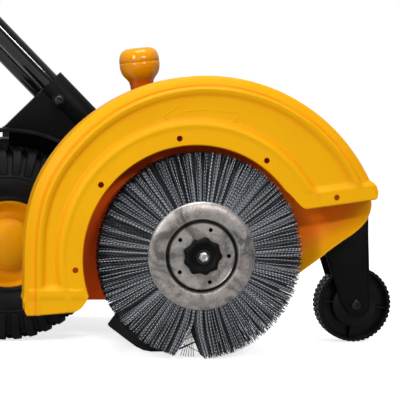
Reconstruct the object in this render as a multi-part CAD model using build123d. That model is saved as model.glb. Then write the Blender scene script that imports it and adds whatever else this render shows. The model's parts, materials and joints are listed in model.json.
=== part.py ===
from build123d import *
import math
import os

# Walk-behind brush machine with a half-round guard, in millimetres.
# While it is laid out, X is forward, Y runs from the brush side to the far side, Z is up
# from the ground, and the brush turns about the line X = 0, Z = axle_height.
# Every part is moved by layout_shift when it is written, so that the origin ends up on
# the ground under the middle of the whole machine.

os.makedirs("parts", exist_ok=True)

# Driving dimensions
axle_height = 130.0
brush_radius = 130.0
brush_width = 36.0
hub_radius = 68.0
hub_step_radius = 45.0
spindle_radius = 8.0
spindle_clearance = 26.0
bolt_circle = 68.5
bolt_hole_radius = 2.7
bolt_hole_count = 5

guard_radius = 234.4
guard_centre_x = 7.5
guard_centre_z = 120.0
guard_side_top = 235.0
guard_wall = 3.0
guard_front = -4.0
guard_back = 51.0
guard_left = -219.4
guard_foot_z = 56.0
opening_radius = 141.3
opening_x = -7.2
opening_z = 126.5
flange_hole_radius = 3.7
flange_hole_circle = 151.2
flange_hole_angles = (54.7, 98.9, 142.8, 185.2)
lip_hole = (171.6, 204.1)
guard_screw_circle = 205.0
guard_screw_angles = (36, 62, 88, 114, 140, 166)
sheet = 3.0

wheel_radius = 130.0
wheel_width = 76.0
wheel_x = -229.0
near_wheel_y = 199.0
far_wheel_y = 451.0
rim_radius = 57.5
rim_seat_radius = 61.5
hub_cap_radius = 34.0
axle_radius = 8.0
fender_radius = 153.5
fender_wall = 5.0

crank_x = -159.0
lever_x = -79.0
crank_arm_height = 45.0
linkage_y = 258.0
plate_thickness = 6.0
knob_foot = (-58.9, 130.0, 336.0)
knob_lean = 7.0
knob_radius = 26.5
lever_rod_radius = 6.0
lever_shaft_radius = 7.0
crank_shaft_radius = 11.0
linkage_pin_radius = 4.0
open_pivot_radius = 4.6

caster_x = 208.0
caster_y = 147.0
caster_trail = 29.0
caster_radius = 51.5
caster_width = 32.0
caster_pin_radius = 6.0
caster_axle_radius = 5.0

tube_radius = 13.5
tube_wall = 1.6
socket_radius = 20.0
socket_end = 38.0
screw_boss_radius = 9.0
near_tube_y = 196.0
far_tube_y = 454.0
upper_tube_inset = 28.5
handle_start_x = -148.0
handle_start_z = 318.5
clamp_screw = (-164.3, 321.4)
fold_distance = 430.0
handle_length = 900.0

gear_module = 1.25
output_teeth = 60
pinion_teeth = 12
motor_x = 27.0
motor_z = 166.0
motor_radius = 58.0
motor_wall = 3.5
rotor_radius = 30.0
running_gap = 0.05

hub_bolt_head = -19.0
hub_bolt_radius = 4.0
fold_bolt_radius = 4.0
grip_radius = 16.0
handle_bend = 40.0
switch_box_half = 25.0
switch_box_top = 20.0
switch_box_width = 36.0
clamp_knob_reach = 25.0

# The machine reaches from the corner of the switch box to the front of the caster wheel, and
# from the head of the hub bolt to the far clamp knob.
front_reach = caster_x + caster_trail + caster_radius
rear_reach = handle_start_x - (handle_length + switch_box_top + switch_box_half) / math.sqrt(2)
far_reach = far_tube_y + tube_radius + clamp_knob_reach
layout_shift = (-(front_reach + rear_reach) / 2, -(far_reach + hub_bolt_head) / 2, 0.0)

written = {}


def save(name, shape):
    """Write one node, moved so that the origin is under the middle of the machine."""
    moved = Pos(*layout_shift) * shape
    written[name] = moved
    export_step(moved, f"parts/{name}.step")


# Shape helpers: outlines are drawn in the X-Z plane and given a range of Y.
def slab(outline, y_low, y_high):
    placed = Plane.XZ.offset(-y_low) * outline
    return extrude(placed, amount=y_high - y_low, dir=(0, 1, 0))


def drum(x, z, radius, y_low, y_high):
    return Pos(x, (y_low + y_high) / 2, z) * Rot(90, 0, 0) * Cylinder(radius, y_high - y_low)


def ring(x, z, outer, inner, y_low, y_high):
    return drum(x, z, outer, y_low, y_high) - drum(x, z, inner, y_low - 1, y_high + 1)


def upright(x, y, radius, z_low, z_high):
    return Pos(x, y, (z_low + z_high) / 2) * Cylinder(radius, z_high - z_low)


def block(x_low, x_high, y_low, y_high, z_low, z_high):
    centre = ((x_low + x_high) / 2, (y_low + y_high) / 2, (z_low + z_high) / 2)
    return Pos(*centre) * Box(x_high - x_low, y_high - y_low, z_high - z_low)


def rod(start, end, radius):
    axis = Vector(*end) - Vector(*start)
    plane = Plane(origin=start, z_dir=axis)
    return extrude(plane * Circle(radius), amount=axis.length)


def turned(x, z, profile):
    """Revolve a closed profile of (radius, y) points about a line along Y."""
    face = make_face(Polyline(*profile, close=True))
    return Pos(x, 0, z) * revolve(face, Axis.Y, 360)


def hexagon(x, z, radius, y_low, y_high):
    return slab(Pos(x, z) * RegularPolygon(radius, 6), y_low, y_high)


def outline_of(*points):
    return make_face(Polyline(*points, close=True))


def disc_at(x, z, radius):
    return Pos(x, z) * Circle(radius)


def handle_point(distance, y):
    """A point on a handle tube's axis: the tubes rise backwards at 45 degrees."""
    step = distance / math.sqrt(2)
    return (handle_start_x - step, y, handle_start_z + step)


# Guard
def guard_outline(inset):
    """The hood of the guard and its left side, drawn in by inset."""
    disc = disc_at(guard_centre_x, guard_centre_z, guard_radius - inset)
    half_chord = math.sqrt((guard_radius - inset) ** 2 - (guard_side_top - guard_centre_z) ** 2)
    side_top = (guard_centre_x - half_chord, guard_side_top)
    side_foot = (guard_left + inset, 125)
    hood = disc & outline_of(
        (-240, guard_side_top), (-240, 380), (240, 380), (240, 100), (-100, 100), (-100, guard_side_top),
    )
    side_line = ThreePointArc(side_top, (-212.6 + inset, 186), side_foot)
    side = make_face(side_line + Polyline(side_foot, (-100, 125), (-100, guard_side_top), side_top))
    return hood + side


def guard_body_outline():
    foot = outline_of(
        (guard_left, 126), (-218.4, guard_foot_z + 5), (-216, guard_foot_z),
        (-161, guard_foot_z + 4.4), (-141, guard_foot_z + 25), (-100, 126),
    )
    keep = outline_of(
        (-240, 125), (-240, 380), (240, 380), (240, 202), (223.7, 202), (134, 189.4),
        (125.9, 192.8), (116.5, 202.3), (108, 211), (0, 125),
    )
    ear = outline_of((223.5, 201.9), (226, 205), (227, 210), (225.5, 217), (221, 223), (200, 226), (200, 198.7))
    return (guard_outline(0) & keep) + foot + ear


def guard_rim_outline():
    """The outer wall of the guard: an arc and a straight stretch down its left end."""
    wall = guard_outline(0) - guard_outline(guard_wall)
    wall = wall & outline_of((-240, 125), (0, 125), (190, 212), (240, 212), (240, 380), (-240, 380))
    straight = outline_of(
        (guard_left, 126), (guard_left + 0.4, 70), (guard_left + 3.4, 70), (guard_left + 3, 126),
    )
    return wall + straight


def guard_front_shell():
    body = guard_body_outline()
    front_face = body - disc_at(opening_x, opening_z, opening_radius)
    for angle in flange_hole_angles:
        hole_x = opening_x + flange_hole_circle * math.cos(math.radians(angle))
        hole_z = opening_z + flange_hole_circle * math.sin(math.radians(angle))
        front_face -= disc_at(hole_x, hole_z, flange_hole_radius)
    front_face -= disc_at(*lip_hole, flange_hole_radius)
    plate = slab(front_face, guard_front, guard_front + guard_wall)
    wall = slab(guard_rim_outline(), guard_front + guard_wall, guard_back - guard_wall)
    return plate + wall


def guard_back_shell():
    keep = outline_of(
        (-240, 125), (-100, 70), (88, 70), (157.3, 121.6), (179.5, 138.9), (201.8, 153.9), (214, 164),
        (222.5, 173.5), (227.3, 184), (228.4, 198), (240, 212), (240, 380), (-240, 380),
    )
    left = outline_of((guard_left, 126), (guard_left + 0.4, 70), (-100, 70), (-100, 126))
    back_face = (guard_outline(0) & keep) + left
    back_face += outline_of((-101, 126), (-101, 70), (88, 70), (157.3, 121.6), (160, 126))
    lip_zone = Pos(170, 141) * Rectangle(140, 142)
    lip = (back_face - offset(back_face, -4)) & lip_zone
    back_face -= disc_at(0, axle_height, spindle_clearance)
    plate = slab(back_face, guard_back - guard_wall, guard_back)
    return plate + slab(lip, 38, guard_back - guard_wall)


def guard_screws():
    screws = []
    for angle in guard_screw_angles:
        screw_x = guard_centre_x + guard_screw_circle * math.cos(math.radians(angle))
        screw_z = axle_height + guard_screw_circle * math.sin(math.radians(angle))
        screws.append(drum(screw_x, screw_z, 4.5, guard_back, guard_back + 3.5))
    return Compound(children=screws)


def debris_flap():
    face = outline_of(
        (-110.5, 38.5), (-108.6, 35.5), (-87, 19), (-74, 9.4), (-64.5, 4.6), (-54, 2.5), (-32, 2.5),
        (-24, 40), (-24, 79), (-88, 79), (-102, 50),
    )
    return slab(face, guard_back, guard_back + sheet)


# Frame plates
def bulkhead_plate():
    face = outline_of((-120, 80), (100, 80), (205, 185), (205, 200), (190, 240), (-120, 240))
    face -= disc_at(0, axle_height, spindle_clearance)
    return slab(face, guard_back, guard_back + sheet)


def deck_pan():
    pan = block(-95, 95, 108, 250, 90, 94) + block(-205, 95, 250, 400, 90, 94)
    tongues = block(-95, -60, 54, 108, 90, 94) + block(60, 95, 54, 108, 90, 94)
    flanges = block(91, 95, 54, 400, 76, 90) + block(-95, -91, 54, 250, 76, 90)
    return pan + tongues + flanges


def caster_shelf():
    shelf = block(90, 228, 54, 172, 200, 206)
    ribs = block(90, 180, 58, 62, 184, 200) + block(90, 180, 164, 168, 184, 200)
    return shelf + ribs


def side_plate(y_low):
    face = outline_of((-250, 76), (-95, 76), (-95, 150), (-120, 230), (-150, 268), (-245, 268))
    slot = Pos(wheel_x, axle_height) * Rectangle(30, 66)
    face -= slot
    face -= disc_at(crank_x, axle_height, crank_shaft_radius + 4)
    return slab(face, y_low, y_low + sheet)


# Gear case, motor and their bearings
def case_outline(extra):
    face = disc_at(0, axle_height, 44 + extra) + disc_at(motor_x, motor_z, 26 + extra)
    return make_hull(face.edges())


def gear_case_front():
    shell = slab(case_outline(4), 54, 70)
    shell -= drum(0, axle_height, 17.5, 58, 71)
    shell -= drum(0, axle_height, 12, 53, 59)
    shell -= drum(motor_x, motor_z, 7, 62, 71)
    return shell


def gear_case_rear():
    shell = slab(case_outline(4), 70, 102) + drum(motor_x, motor_z, motor_radius, 102, 108)
    shell -= slab(case_outline(0), 69, 88)
    shell -= drum(0, axle_height, 15, 87, 98)
    shell -= drum(motor_x, motor_z, 14, 87, 109)
    return shell


def shaft_bearings():
    front = ring(0, axle_height, 17.5, spindle_radius + running_gap, 58, 68)
    rear = ring(0, axle_height, 15, spindle_radius + running_gap, 89, 98)
    rotor_front = ring(motor_x, motor_z, 14, 6 + running_gap, 94, 104)
    rotor_rear = ring(motor_x, motor_z, 13, 5 + running_gap, 252, 260)
    return Compound(children=[front, rear, rotor_front, rotor_rear])


def motor_housing():
    shell = ring(motor_x, motor_z, motor_radius, motor_radius - motor_wall, 108, 250)
    for index in range(8):
        angle = index * 45
        vent = Pos(motor_x, 128, motor_z) * Rot(0, angle, 0) * Pos(motor_radius, 0, 0) * Box(20, 22, 7)
        shell -= vent
    return shell


def motor_end_cover():
    cup = drum(motor_x, motor_z, motor_radius, 250, 272) - drum(motor_x, motor_z, 53, 249, 268)
    hub = ring(motor_x, motor_z, 17, 13, 252, 268)
    cup += hub
    for index in range(6):
        angle = index * 60 + 30
        vent = Pos(motor_x, 270, motor_z) * Rot(0, angle, 0) * Pos(36, 0, 0) * Box(26, 12, 5)
        cup -= vent
    return cup


def stator():
    return ring(motor_x, motor_z, motor_radius - motor_wall, rotor_radius + 2, 150, 215)


def carbon_brushes():
    pair = []
    for side in (-1, 1):
        low = motor_x + side * 17
        high = motor_x + side * 46
        pair.append(block(min(low, high), max(low, high), 229, 239, motor_z - 5, motor_z + 5))
    return Compound(children=pair)


def motor_gland():
    body = drum(motor_x, motor_z - 42, 9, 272, 284)
    nut = hexagon(motor_x, motor_z - 42, 11, 284, 292)
    return body + nut


def case_screws():
    heads = []
    for angle in (150, 190, 235, 275, 315):
        screw_x = 41 * math.cos(math.radians(angle))
        screw_z = axle_height + 41 * math.sin(math.radians(angle))
        heads.append(drum(screw_x, screw_z, 4, 102, 106))
    for index in range(4):
        angle = math.radians(45 + index * 90)
        screw_x = motor_x + 50 * math.cos(angle)
        screw_z = motor_z + 50 * math.sin(angle)
        heads.append(drum(screw_x, screw_z, 3.5, 272, 275))
    for y in (near_tube_y - socket_radius - 4, far_tube_y + socket_radius):
        heads.append(drum(clamp_screw[0], clamp_screw[1], 6, y, y + 4))
    return Compound(children=heads)


# Brush and its drive
def spindle():
    shaft = drum(0, axle_height, spindle_radius, -12, 98)
    shaft -= drum(0, axle_height, hub_bolt_radius, -13, 12)
    return shaft


def gear(x, z, teeth, bore, y_low, y_high):
    pitch = gear_module * teeth / 2
    root = pitch - 1.25 * gear_module
    tip = pitch + 0.8 * gear_module
    half = gear_module * 0.62
    tooth = outline_of((root - 1, -half * 1.25), (tip, -half * 0.62), (tip, half * 0.62), (root - 1, half * 1.25))
    face = Circle(root)
    for index in range(teeth):
        turn = index * 360 / teeth
        face += Rot(0, 0, turn) * tooth
    if bore:
        face -= Circle(bore)
    return slab(Pos(x, z) * face, y_low, y_high)


def output_gear():
    return gear(0, axle_height, output_teeth, spindle_radius, 72, 86)


def drive_flange():
    flange = ring(0, axle_height, 30, spindle_radius, 37, 44)
    return flange + ring(0, axle_height, 11.5, spindle_radius, 44, 57)


def hub_plate(front):
    """One pressed plate of the brush hub: a raised outer ring round a sunk centre."""
    middle = brush_width / 2
    profile = [
        (spindle_radius, -1), (hub_step_radius - 3, -1), (hub_step_radius, -5), (hub_radius, -5),
        (hub_radius, -0.5), (hub_radius - 2, -0.5), (hub_radius - 2, -3), (hub_step_radius + 1, -3),
        (hub_step_radius - 2, 1.5), (spindle_radius, 1.5),
    ]
    if not front:
        profile = [(radius, 2 * middle - y) for radius, y in profile]
    plate = turned(0, axle_height, profile)
    for index in range(bolt_hole_count):
        angle = math.radians(index * 360 / bolt_hole_count)
        hole_x = bolt_circle / 2 * math.cos(angle)
        hole_z = axle_height + bolt_circle / 2 * math.sin(angle)
        plate -= drum(hole_x, hole_z, bolt_hole_radius, -10, brush_width + 10)
    return plate


def bristle_core():
    core = ring(0, axle_height, 41, spindle_radius, 1.5, brush_width - 1.5)
    for index in range(bolt_hole_count):
        angle = math.radians(index * 360 / bolt_hole_count)
        hole_x = bolt_circle / 2 * math.cos(angle)
        hole_z = axle_height + bolt_circle / 2 * math.sin(angle)
        core -= drum(hole_x, hole_z, bolt_hole_radius, 0, brush_width)
    return core


def bristle_ring():
    profile = [
        (41, 2), (48, 2), (48, 1), (hub_radius, 1), (hub_radius + 6, 0), (brush_radius, 0),
        (brush_radius, brush_width), (hub_radius + 6, brush_width), (hub_radius, 35), (48, 35),
        (48, 34), (41, 34),
    ]
    return turned(0, axle_height, profile)


def clamp_nut():
    lobes = Circle(22)
    for index in range(9):
        angle = math.radians(index * 40)
        lobes += disc_at(20 * math.cos(angle), 20 * math.sin(angle), 4.6)
    lobes -= Circle(spindle_radius)
    return slab(Pos(0, axle_height) * lobes, -12, -1)


def hub_bolt():
    head = hexagon(0, axle_height, 6.6, hub_bolt_head, -13.5)
    washer = drum(0, axle_height, 9.5, -13.5, -12)
    return head + washer + drum(0, axle_height, hub_bolt_radius, -12, 12)


# Rotor
def rotor_shaft():
    shaft = drum(motor_x, motor_z, 6, 87, 240) + drum(motor_x, motor_z, 5, 240, 262)
    pinion = gear(0, 0, pinion_teeth, 0, 72, 87)
    turn = 180 / pinion_teeth + math.degrees(math.atan2(motor_z - axle_height, motor_x)) * 6
    pinion = Pos(motor_x, 0, motor_z) * Rot(0, -turn, 0) * pinion
    return shaft + pinion


def rotor_core():
    core = ring(motor_x, motor_z, rotor_radius, 6, 150, 215)
    commutator = ring(motor_x, motor_z, 16, 6, 224, 240)
    return Compound(children=[core, commutator])


def cooling_fan():
    fan = ring(motor_x, motor_z, 15, 6, 114, 138) + ring(motor_x, motor_z, 48, 15, 114, 117)
    for index in range(9):
        blade = Pos(motor_x, 127, motor_z) * Rot(0, index * 40, 0) * Pos(31, 0, 0) * Box(34, 22, 2.5)
        fan += blade
    return fan


# Height adjustment: lever, link and cranked rear axle
def arm_plate(x, top):
    face = outline_of((x - 9, axle_height), (x + 9, axle_height), (x + 7, top), (x - 7, top))
    face += disc_at(x, axle_height, 17) + disc_at(x, top, 8)
    return slab(face, linkage_y, linkage_y + plate_thickness)


def lever_rod():
    """The bent rod from the lever's pivot to the inside of its knob."""
    stem = rod((lever_x, knob_foot[1], axle_height), knob_foot, lever_rod_radius)
    tip = rod(knob_foot, lever_knob_point(32), lever_rod_radius)
    return stem + tip + Pos(*knob_foot) * Sphere(lever_rod_radius)


def height_lever():
    collar = drum(lever_x, axle_height, 14, 122, 138)
    return collar + lever_rod() - drum(lever_x, axle_height, lever_shaft_radius, 120, 140)


def lever_knob_point(height):
    """A point on the knob's own axis, which leans back a little, by height above its foot."""
    lean = math.radians(knob_lean)
    x = knob_foot[0] - height * math.sin(lean)
    return (x, knob_foot[1], knob_foot[2] + height * math.cos(lean))


def lever_knob():
    profile = [(0, 0), (14, 0), (15, 8), (16, 16), (22, 22), (26, 29), (knob_radius, 36),
               (25, 45), (21, 52), (14, 56), (0, 56.5)]
    face = make_face(Polyline(*profile, close=True))
    body = revolve(face, Axis.Y, 360)
    upright_body = Rot(90, 0, 0) * body
    placed = Pos(*knob_foot) * Rot(0, -knob_lean, 0) * upright_body
    mouth = rod(lever_knob_point(-5), knob_foot, lever_rod_radius)
    return placed - mouth - lever_rod()


def lever_shaft():
    shaft = drum(lever_x, axle_height, lever_shaft_radius, 118, 302)
    arm = arm_plate(lever_x, axle_height + crank_arm_height)
    pin = drum(lever_x, axle_height + crank_arm_height, linkage_pin_radius, linkage_y, 278)
    return shaft + arm + pin


def link_rod():
    z = axle_height + crank_arm_height
    face = disc_at(crank_x, z, 9) + disc_at(lever_x, z, 9)
    face += Pos((crank_x + lever_x) / 2, z) * Rectangle(lever_x - crank_x, 12)
    face -= disc_at(lever_x, z, linkage_pin_radius + running_gap)
    face -= disc_at(crank_x, z, open_pivot_radius)
    return slab(face, linkage_y + 8, linkage_y + 14)


def crank_shaft():
    shaft = drum(crank_x, axle_height, crank_shaft_radius, 244, 406)
    lug = arm_plate(crank_x, axle_height + crank_arm_height)
    pin = drum(crank_x, axle_height + crank_arm_height, linkage_pin_radius, linkage_y, 278)
    arm_face = disc_at(crank_x, axle_height, 20) + disc_at(wheel_x, axle_height, 16)
    arm_face = make_hull(arm_face.edges()) - disc_at(wheel_x, axle_height, axle_radius)
    near_arm = slab(arm_face, linkage_y, linkage_y + plate_thickness)
    far_arm = slab(arm_face, 392, 398)
    return shaft + lug + pin + near_arm + far_arm


def rear_axle():
    axle = drum(wheel_x, axle_height, axle_radius, 163, 487)
    near_collar = drum(wheel_x, axle_height, 12, 226, linkage_y)
    far_collar = drum(wheel_x, axle_height, 12, 398, 424)
    return axle + near_collar + far_collar


def axle_nuts():
    nuts = []
    for y_low in (164, 478):
        nuts.append(hexagon(wheel_x, axle_height, 13, y_low, y_low + 8))
    return Compound(children=[nut - drum(wheel_x, axle_height, axle_radius, 150, 500) for nut in nuts])


# Rear wheels and fenders
def tyre(centre_y):
    half = wheel_width / 2
    depth = wheel_radius - rim_radius
    section = Pos(rim_radius + depth / 2, centre_y) * Rectangle(depth, wheel_width)
    corners = section.vertices().filter_by(lambda corner: corner.X > wheel_radius - 1)
    section = fillet(corners, 15)
    section -= Pos(rim_radius, centre_y) * Rectangle(2 * (rim_seat_radius - rim_radius), 2 * half - 20)
    return Pos(wheel_x, 0, axle_height) * revolve(section, Axis.Y, 360)


def rim(centre_y, outward):
    """Dished wheel centre with a clip-on cap over the axle nut."""
    def at(radius, depth):
        return (radius, centre_y - outward * depth)
    bore = axle_radius + running_gap
    seat = rim_seat_radius
    profile = [
        at(bore, 26), at(18, 26), at(24, 20), at(hub_cap_radius, 20), at(42, 20), at(52, 28), at(53, 30),
        at(rim_radius, 30), at(rim_radius, 28), at(seat, 28), at(seat, -28), at(rim_radius, -28),
        at(rim_radius, -30), at(53, -30), at(50, 12), at(42, 16), at(22, 14), at(18, -24), at(bore, -24),
    ]
    cap = [
        at(0, 39.5), at(20, 38), at(30, 32.5), at(hub_cap_radius, 24), at(hub_cap_radius, 20.05),
        at(31, 20.05), at(28, 30), at(18, 36), at(0, 37.5),
    ]
    return Compound(children=[turned(wheel_x, axle_height, profile), turned(wheel_x, axle_height, cap)])


def fender(centre_y, inward, start_angle, end_angle):
    """Curved band over the tyre with an inner panel on the machine's side."""
    half = wheel_width / 2
    outer = centre_y - inward * (half - 2)
    inner = centre_y + inward * (half + 10)
    y_low = min(outer, inner)
    y_high = max(outer, inner)
    circle = disc_at(wheel_x, axle_height, fender_radius)
    wedge_points = [(wheel_x, axle_height)]
    for angle in (start_angle, (start_angle + end_angle) / 2, end_angle):
        wedge_points.append((
            wheel_x + 260 * math.cos(math.radians(angle)),
            axle_height + 260 * math.sin(math.radians(angle)),
        ))
    wedge = outline_of(*wedge_points)
    band = (circle - disc_at(wheel_x, axle_height, fender_radius - fender_wall)) & wedge
    panel = circle & outline_of((-226, 196), (-80, 196), (-80, 300), (-226, 300))
    panel_low = min(inner, inner - inward * 3)
    return slab(band, y_low, y_high) + slab(panel, panel_low, panel_low + 3)


# Handle
def handle_bracket(centre_y, end_cut):
    """Moulded socket on a gusset that stands on the fender. end_cut moves its open end."""
    gusset = outline_of(
        (-234.8, 285.6), (-202, 318.4), (-160, 323), (-104, 300), (-100, 250), (-140, 255),
    )
    web = slab(gusset, centre_y - 12, centre_y + 12)
    socket = rod(handle_point(-58, centre_y), handle_point(socket_end, centre_y), socket_radius)
    corner = outline_of((-234.8, 285.6), (-178, 342.4), (-150, 316))
    web += slab(corner, centre_y - 12, centre_y + 12)
    inward = 1 if centre_y < 300 else -1
    tie_low = min(centre_y, centre_y + inward * 54)
    web += block(-180, -130, tie_low, tie_low + 54, 284, 304)
    boss_face = centre_y - inward * socket_radius
    boss_low = min(centre_y, boss_face)
    boss = drum(clamp_screw[0], clamp_screw[1], screw_boss_radius, boss_low, boss_low + socket_radius)
    body = web + socket + boss
    under = drum(wheel_x, axle_height, fender_radius, centre_y - 60, centre_y + 60)
    body -= under
    body -= rod(handle_point(0, centre_y), handle_point(120, centre_y), tube_radius)
    if end_cut:
        far_corner = outline_of(
            (-300, 270), (-217, 281), (-176, 327), (-136, 366), (-200, 420), (-300, 420),
        )
        body -= slab(far_corner, centre_y - 30, centre_y + 30)
    return body


def lower_tube(y):
    tube = rod(handle_point(0, y), handle_point(fold_distance + 22, y), tube_radius)
    tube -= rod(handle_point(-1, y), handle_point(fold_distance + 23, y), tube_radius - tube_wall)
    point = handle_point(fold_distance, y)
    return tube - drum(point[0], point[2], fold_bolt_radius, y - 20, y + 20)


def fold_bolts():
    bolts = []
    point = handle_point(fold_distance, 0)
    for tube_y, inward in ((near_tube_y, 1), (far_tube_y, -1)):
        start = tube_y - inward * 36
        end = tube_y + inward * (upper_tube_inset + tube_radius + 1)
        head_end = end + inward * 4
        bolts.append(drum(point[0], point[2], fold_bolt_radius, min(start, end), max(start, end)))
        bolts[-1] += drum(point[0], point[2], 8, min(end, head_end), max(end, head_end))
    return Compound(children=bolts)


def clamp_knob(tube_y, inward):
    point = handle_point(fold_distance, 0)
    face = Circle(19)
    for index in range(6):
        angle = math.radians(index * 60)
        face += disc_at(18 * math.cos(angle), 18 * math.sin(angle), 7)
    near = tube_y - inward * (tube_radius + 1)
    far = tube_y - inward * (tube_radius + 25)
    knob = slab(Pos(point[0], point[2]) * face, min(near, far) + 2, max(near, far) - 2)
    knob += drum(point[0], point[2], 12, min(near, far), max(near, far))
    bore = fold_bolt_radius + running_gap
    return knob - drum(point[0], point[2], bore, min(near, far) - 5, max(near, far) + 5)


def sleeve_along(path, outer, inner):
    start = Plane(origin=path @ 0, z_dir=path % 0)
    return sweep(start * Circle(outer), path=path) - sweep(start * Circle(inner), path=path)


def upper_handle():
    near_y = near_tube_y + upper_tube_inset
    far_y = far_tube_y - upper_tube_inset
    path = FilletPolyline(
        handle_point(fold_distance - 20, near_y), handle_point(handle_length, near_y),
        handle_point(handle_length, far_y), handle_point(fold_distance - 20, far_y), radius=handle_bend,
    )
    tube = sleeve_along(path, tube_radius, tube_radius - tube_wall)
    point = handle_point(fold_distance, 0)
    return tube - drum(point[0], point[2], fold_bolt_radius + running_gap, near_y - 20, far_y + 20)


def grips():
    """A foam grip round each corner of the upper handle."""
    middle = (near_tube_y + far_tube_y) / 2
    pair = []
    for side in (-1, 1):
        tube_y = middle + side * (middle - near_tube_y - upper_tube_inset)
        inner_y = middle + side * (switch_box_width / 2 + 3)
        path = FilletPolyline(
            handle_point(handle_length - 110, tube_y), handle_point(handle_length, tube_y),
            handle_point(handle_length, inner_y), radius=handle_bend,
        )
        pair.append(sleeve_along(path, grip_radius, tube_radius))
    return Compound(children=pair)


def tilted(shape, distance, y):
    """Stand a shape drawn with Z along the handle on the handle's own slope."""
    return Pos(*handle_point(distance, y)) * Rot(0, -45, 0) * shape


def switch_box():
    middle = (near_tube_y + far_tube_y) / 2
    shell = tilted(Pos(0, 0, -30) * Box(2 * switch_box_half, switch_box_width, 100), handle_length, middle)
    bar_point = handle_point(handle_length, 0)
    shell -= drum(bar_point[0], bar_point[2], tube_radius, middle - 40, middle + 40)
    shell -= tilted(Pos(22, 0, -45) * Box(12, 12.6, 12.6), handle_length, middle)
    bore = Pos(-10, 0, -60) * Rot(90, 0, 0) * Cylinder(4 + running_gap, 80)
    inlet = Pos(0, 0, -88) * Cylinder(9, 16)
    return shell - tilted(bore, handle_length, middle) + tilted(inlet, handle_length, middle)


def switch_bail():
    """Switch lever under the bar: a pin through the box, two arms and a bar on each side."""
    middle = (near_tube_y + far_tube_y) / 2
    arm_y = switch_box_width / 2 + 6
    bail = Pos(-10, 0, -60) * Rot(90, 0, 0) * Cylinder(4, 2 * arm_y)
    for side in (-1, 1):
        bail += Pos(-23, side * arm_y, -38) * Rot(0, -30, 0) * Box(8, 6, 62)
        bail += Pos(-38.5, side * (arm_y + 30), -11) * Rot(90, 0, 0) * Cylinder(5, 66)
    return tilted(bail, handle_length, middle)


def lock_button():
    middle = (near_tube_y + far_tube_y) / 2
    return tilted(Pos(25, 0, -45) * Box(10, 12, 12), handle_length, middle)


# Lever supports
def shaft_supports():
    blocks = []
    for y_low, y_high in ((146, 160), (286, 300)):
        face = outline_of((-92, 94), (-66, 94), (-66, 130), (-92, 130)) + disc_at(lever_x, axle_height, 13)
        face -= disc_at(lever_x, axle_height, lever_shaft_radius + running_gap)
        blocks.append(slab(face, y_low, y_high))
    for y_low in (247, 399):
        outer = crank_shaft_radius + 4
        bush = ring(crank_x, axle_height, outer, crank_shaft_radius + running_gap, y_low, y_low + 6)
        blocks.append(bush)
    return Compound(children=blocks)


def lever_quadrant():
    reach = 146.0
    face = disc_at(lever_x, axle_height, reach)
    left = (lever_x + 200 * math.cos(math.radians(108)), axle_height + 200 * math.sin(math.radians(108)))
    right = (lever_x + 200 * math.cos(math.radians(66)), axle_height + 200 * math.sin(math.radians(66)))
    face = face & outline_of((-94, 94), left, right, (-62, 94))
    face += outline_of((-94, 94), (-62, 94), (-62, 130), (-94, 130))
    for index in range(7):
        angle = math.radians(72 + index * 5)
        face -= disc_at(lever_x + reach * math.cos(angle), axle_height + reach * math.sin(angle), 3.2)
    face -= disc_at(lever_x, axle_height, 9)
    return slab(face, 140, 143)


# Caster
def caster_head():
    head = upright(caster_x, caster_y, 20, 176, 200)
    top = upright(caster_x, caster_y, 14, 206, 210)
    joined = head + top + upright(caster_x, caster_y, 12, 200, 206)
    return joined - upright(caster_x, caster_y, caster_pin_radius + running_gap, 170, 212)


def caster_fork():
    wheel_centre = caster_x + caster_trail
    leg = outline_of(
        (194, 171), (194, 118), (198, 106), (209, 73.6), (215, 57.3), (223, 45), (wheel_centre, 52),
        (257, 55), (254.5, 108), (252.5, 146), (252, 171),
    )
    leg += disc_at(wheel_centre + 2.4, caster_radius + 0.5, 17.8)
    half = caster_width / 2
    legs = slab(leg, caster_y - half - 6, caster_y - half - 2) + slab(leg, caster_y + half + 2, caster_y + half + 6)
    web = block(194, 198, caster_y - half - 6, caster_y + half + 6, 118, 171)
    crown = block(194, 252, caster_y - half - 6, caster_y + half + 6, 168, 174)
    pin = upright(caster_x, caster_y, caster_pin_radius, 174, 214)
    pin += upright(caster_x, caster_y, caster_pin_radius + 3, 210.5, 215)
    axle = drum(wheel_centre, caster_radius, caster_axle_radius, caster_y - half - 6, caster_y + half + 6)
    heads = drum(wheel_centre, caster_radius, 7, caster_y - half - 9, caster_y - half - 6)
    heads += drum(wheel_centre, caster_radius, 7, caster_y + half + 6, caster_y + half + 9)
    return legs + web + crown + pin + axle + heads


def caster_wheel():
    half = caster_width / 2
    bore = caster_axle_radius + running_gap
    tread = caster_radius - 6
    profile = [
        (bore, -half - 1), (33, -half + 1), (33, -5), (tread, -5), (tread, -half), (caster_radius - 2, -half),
        (caster_radius, -half + 2), (caster_radius, half - 2), (caster_radius - 2, half), (tread, half),
        (tread, 5), (33, 5), (33, half - 1), (bore, half + 1),
    ]
    placed = [(radius, caster_y + y) for radius, y in profile]
    return turned(caster_x + caster_trail, caster_radius, placed)


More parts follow.
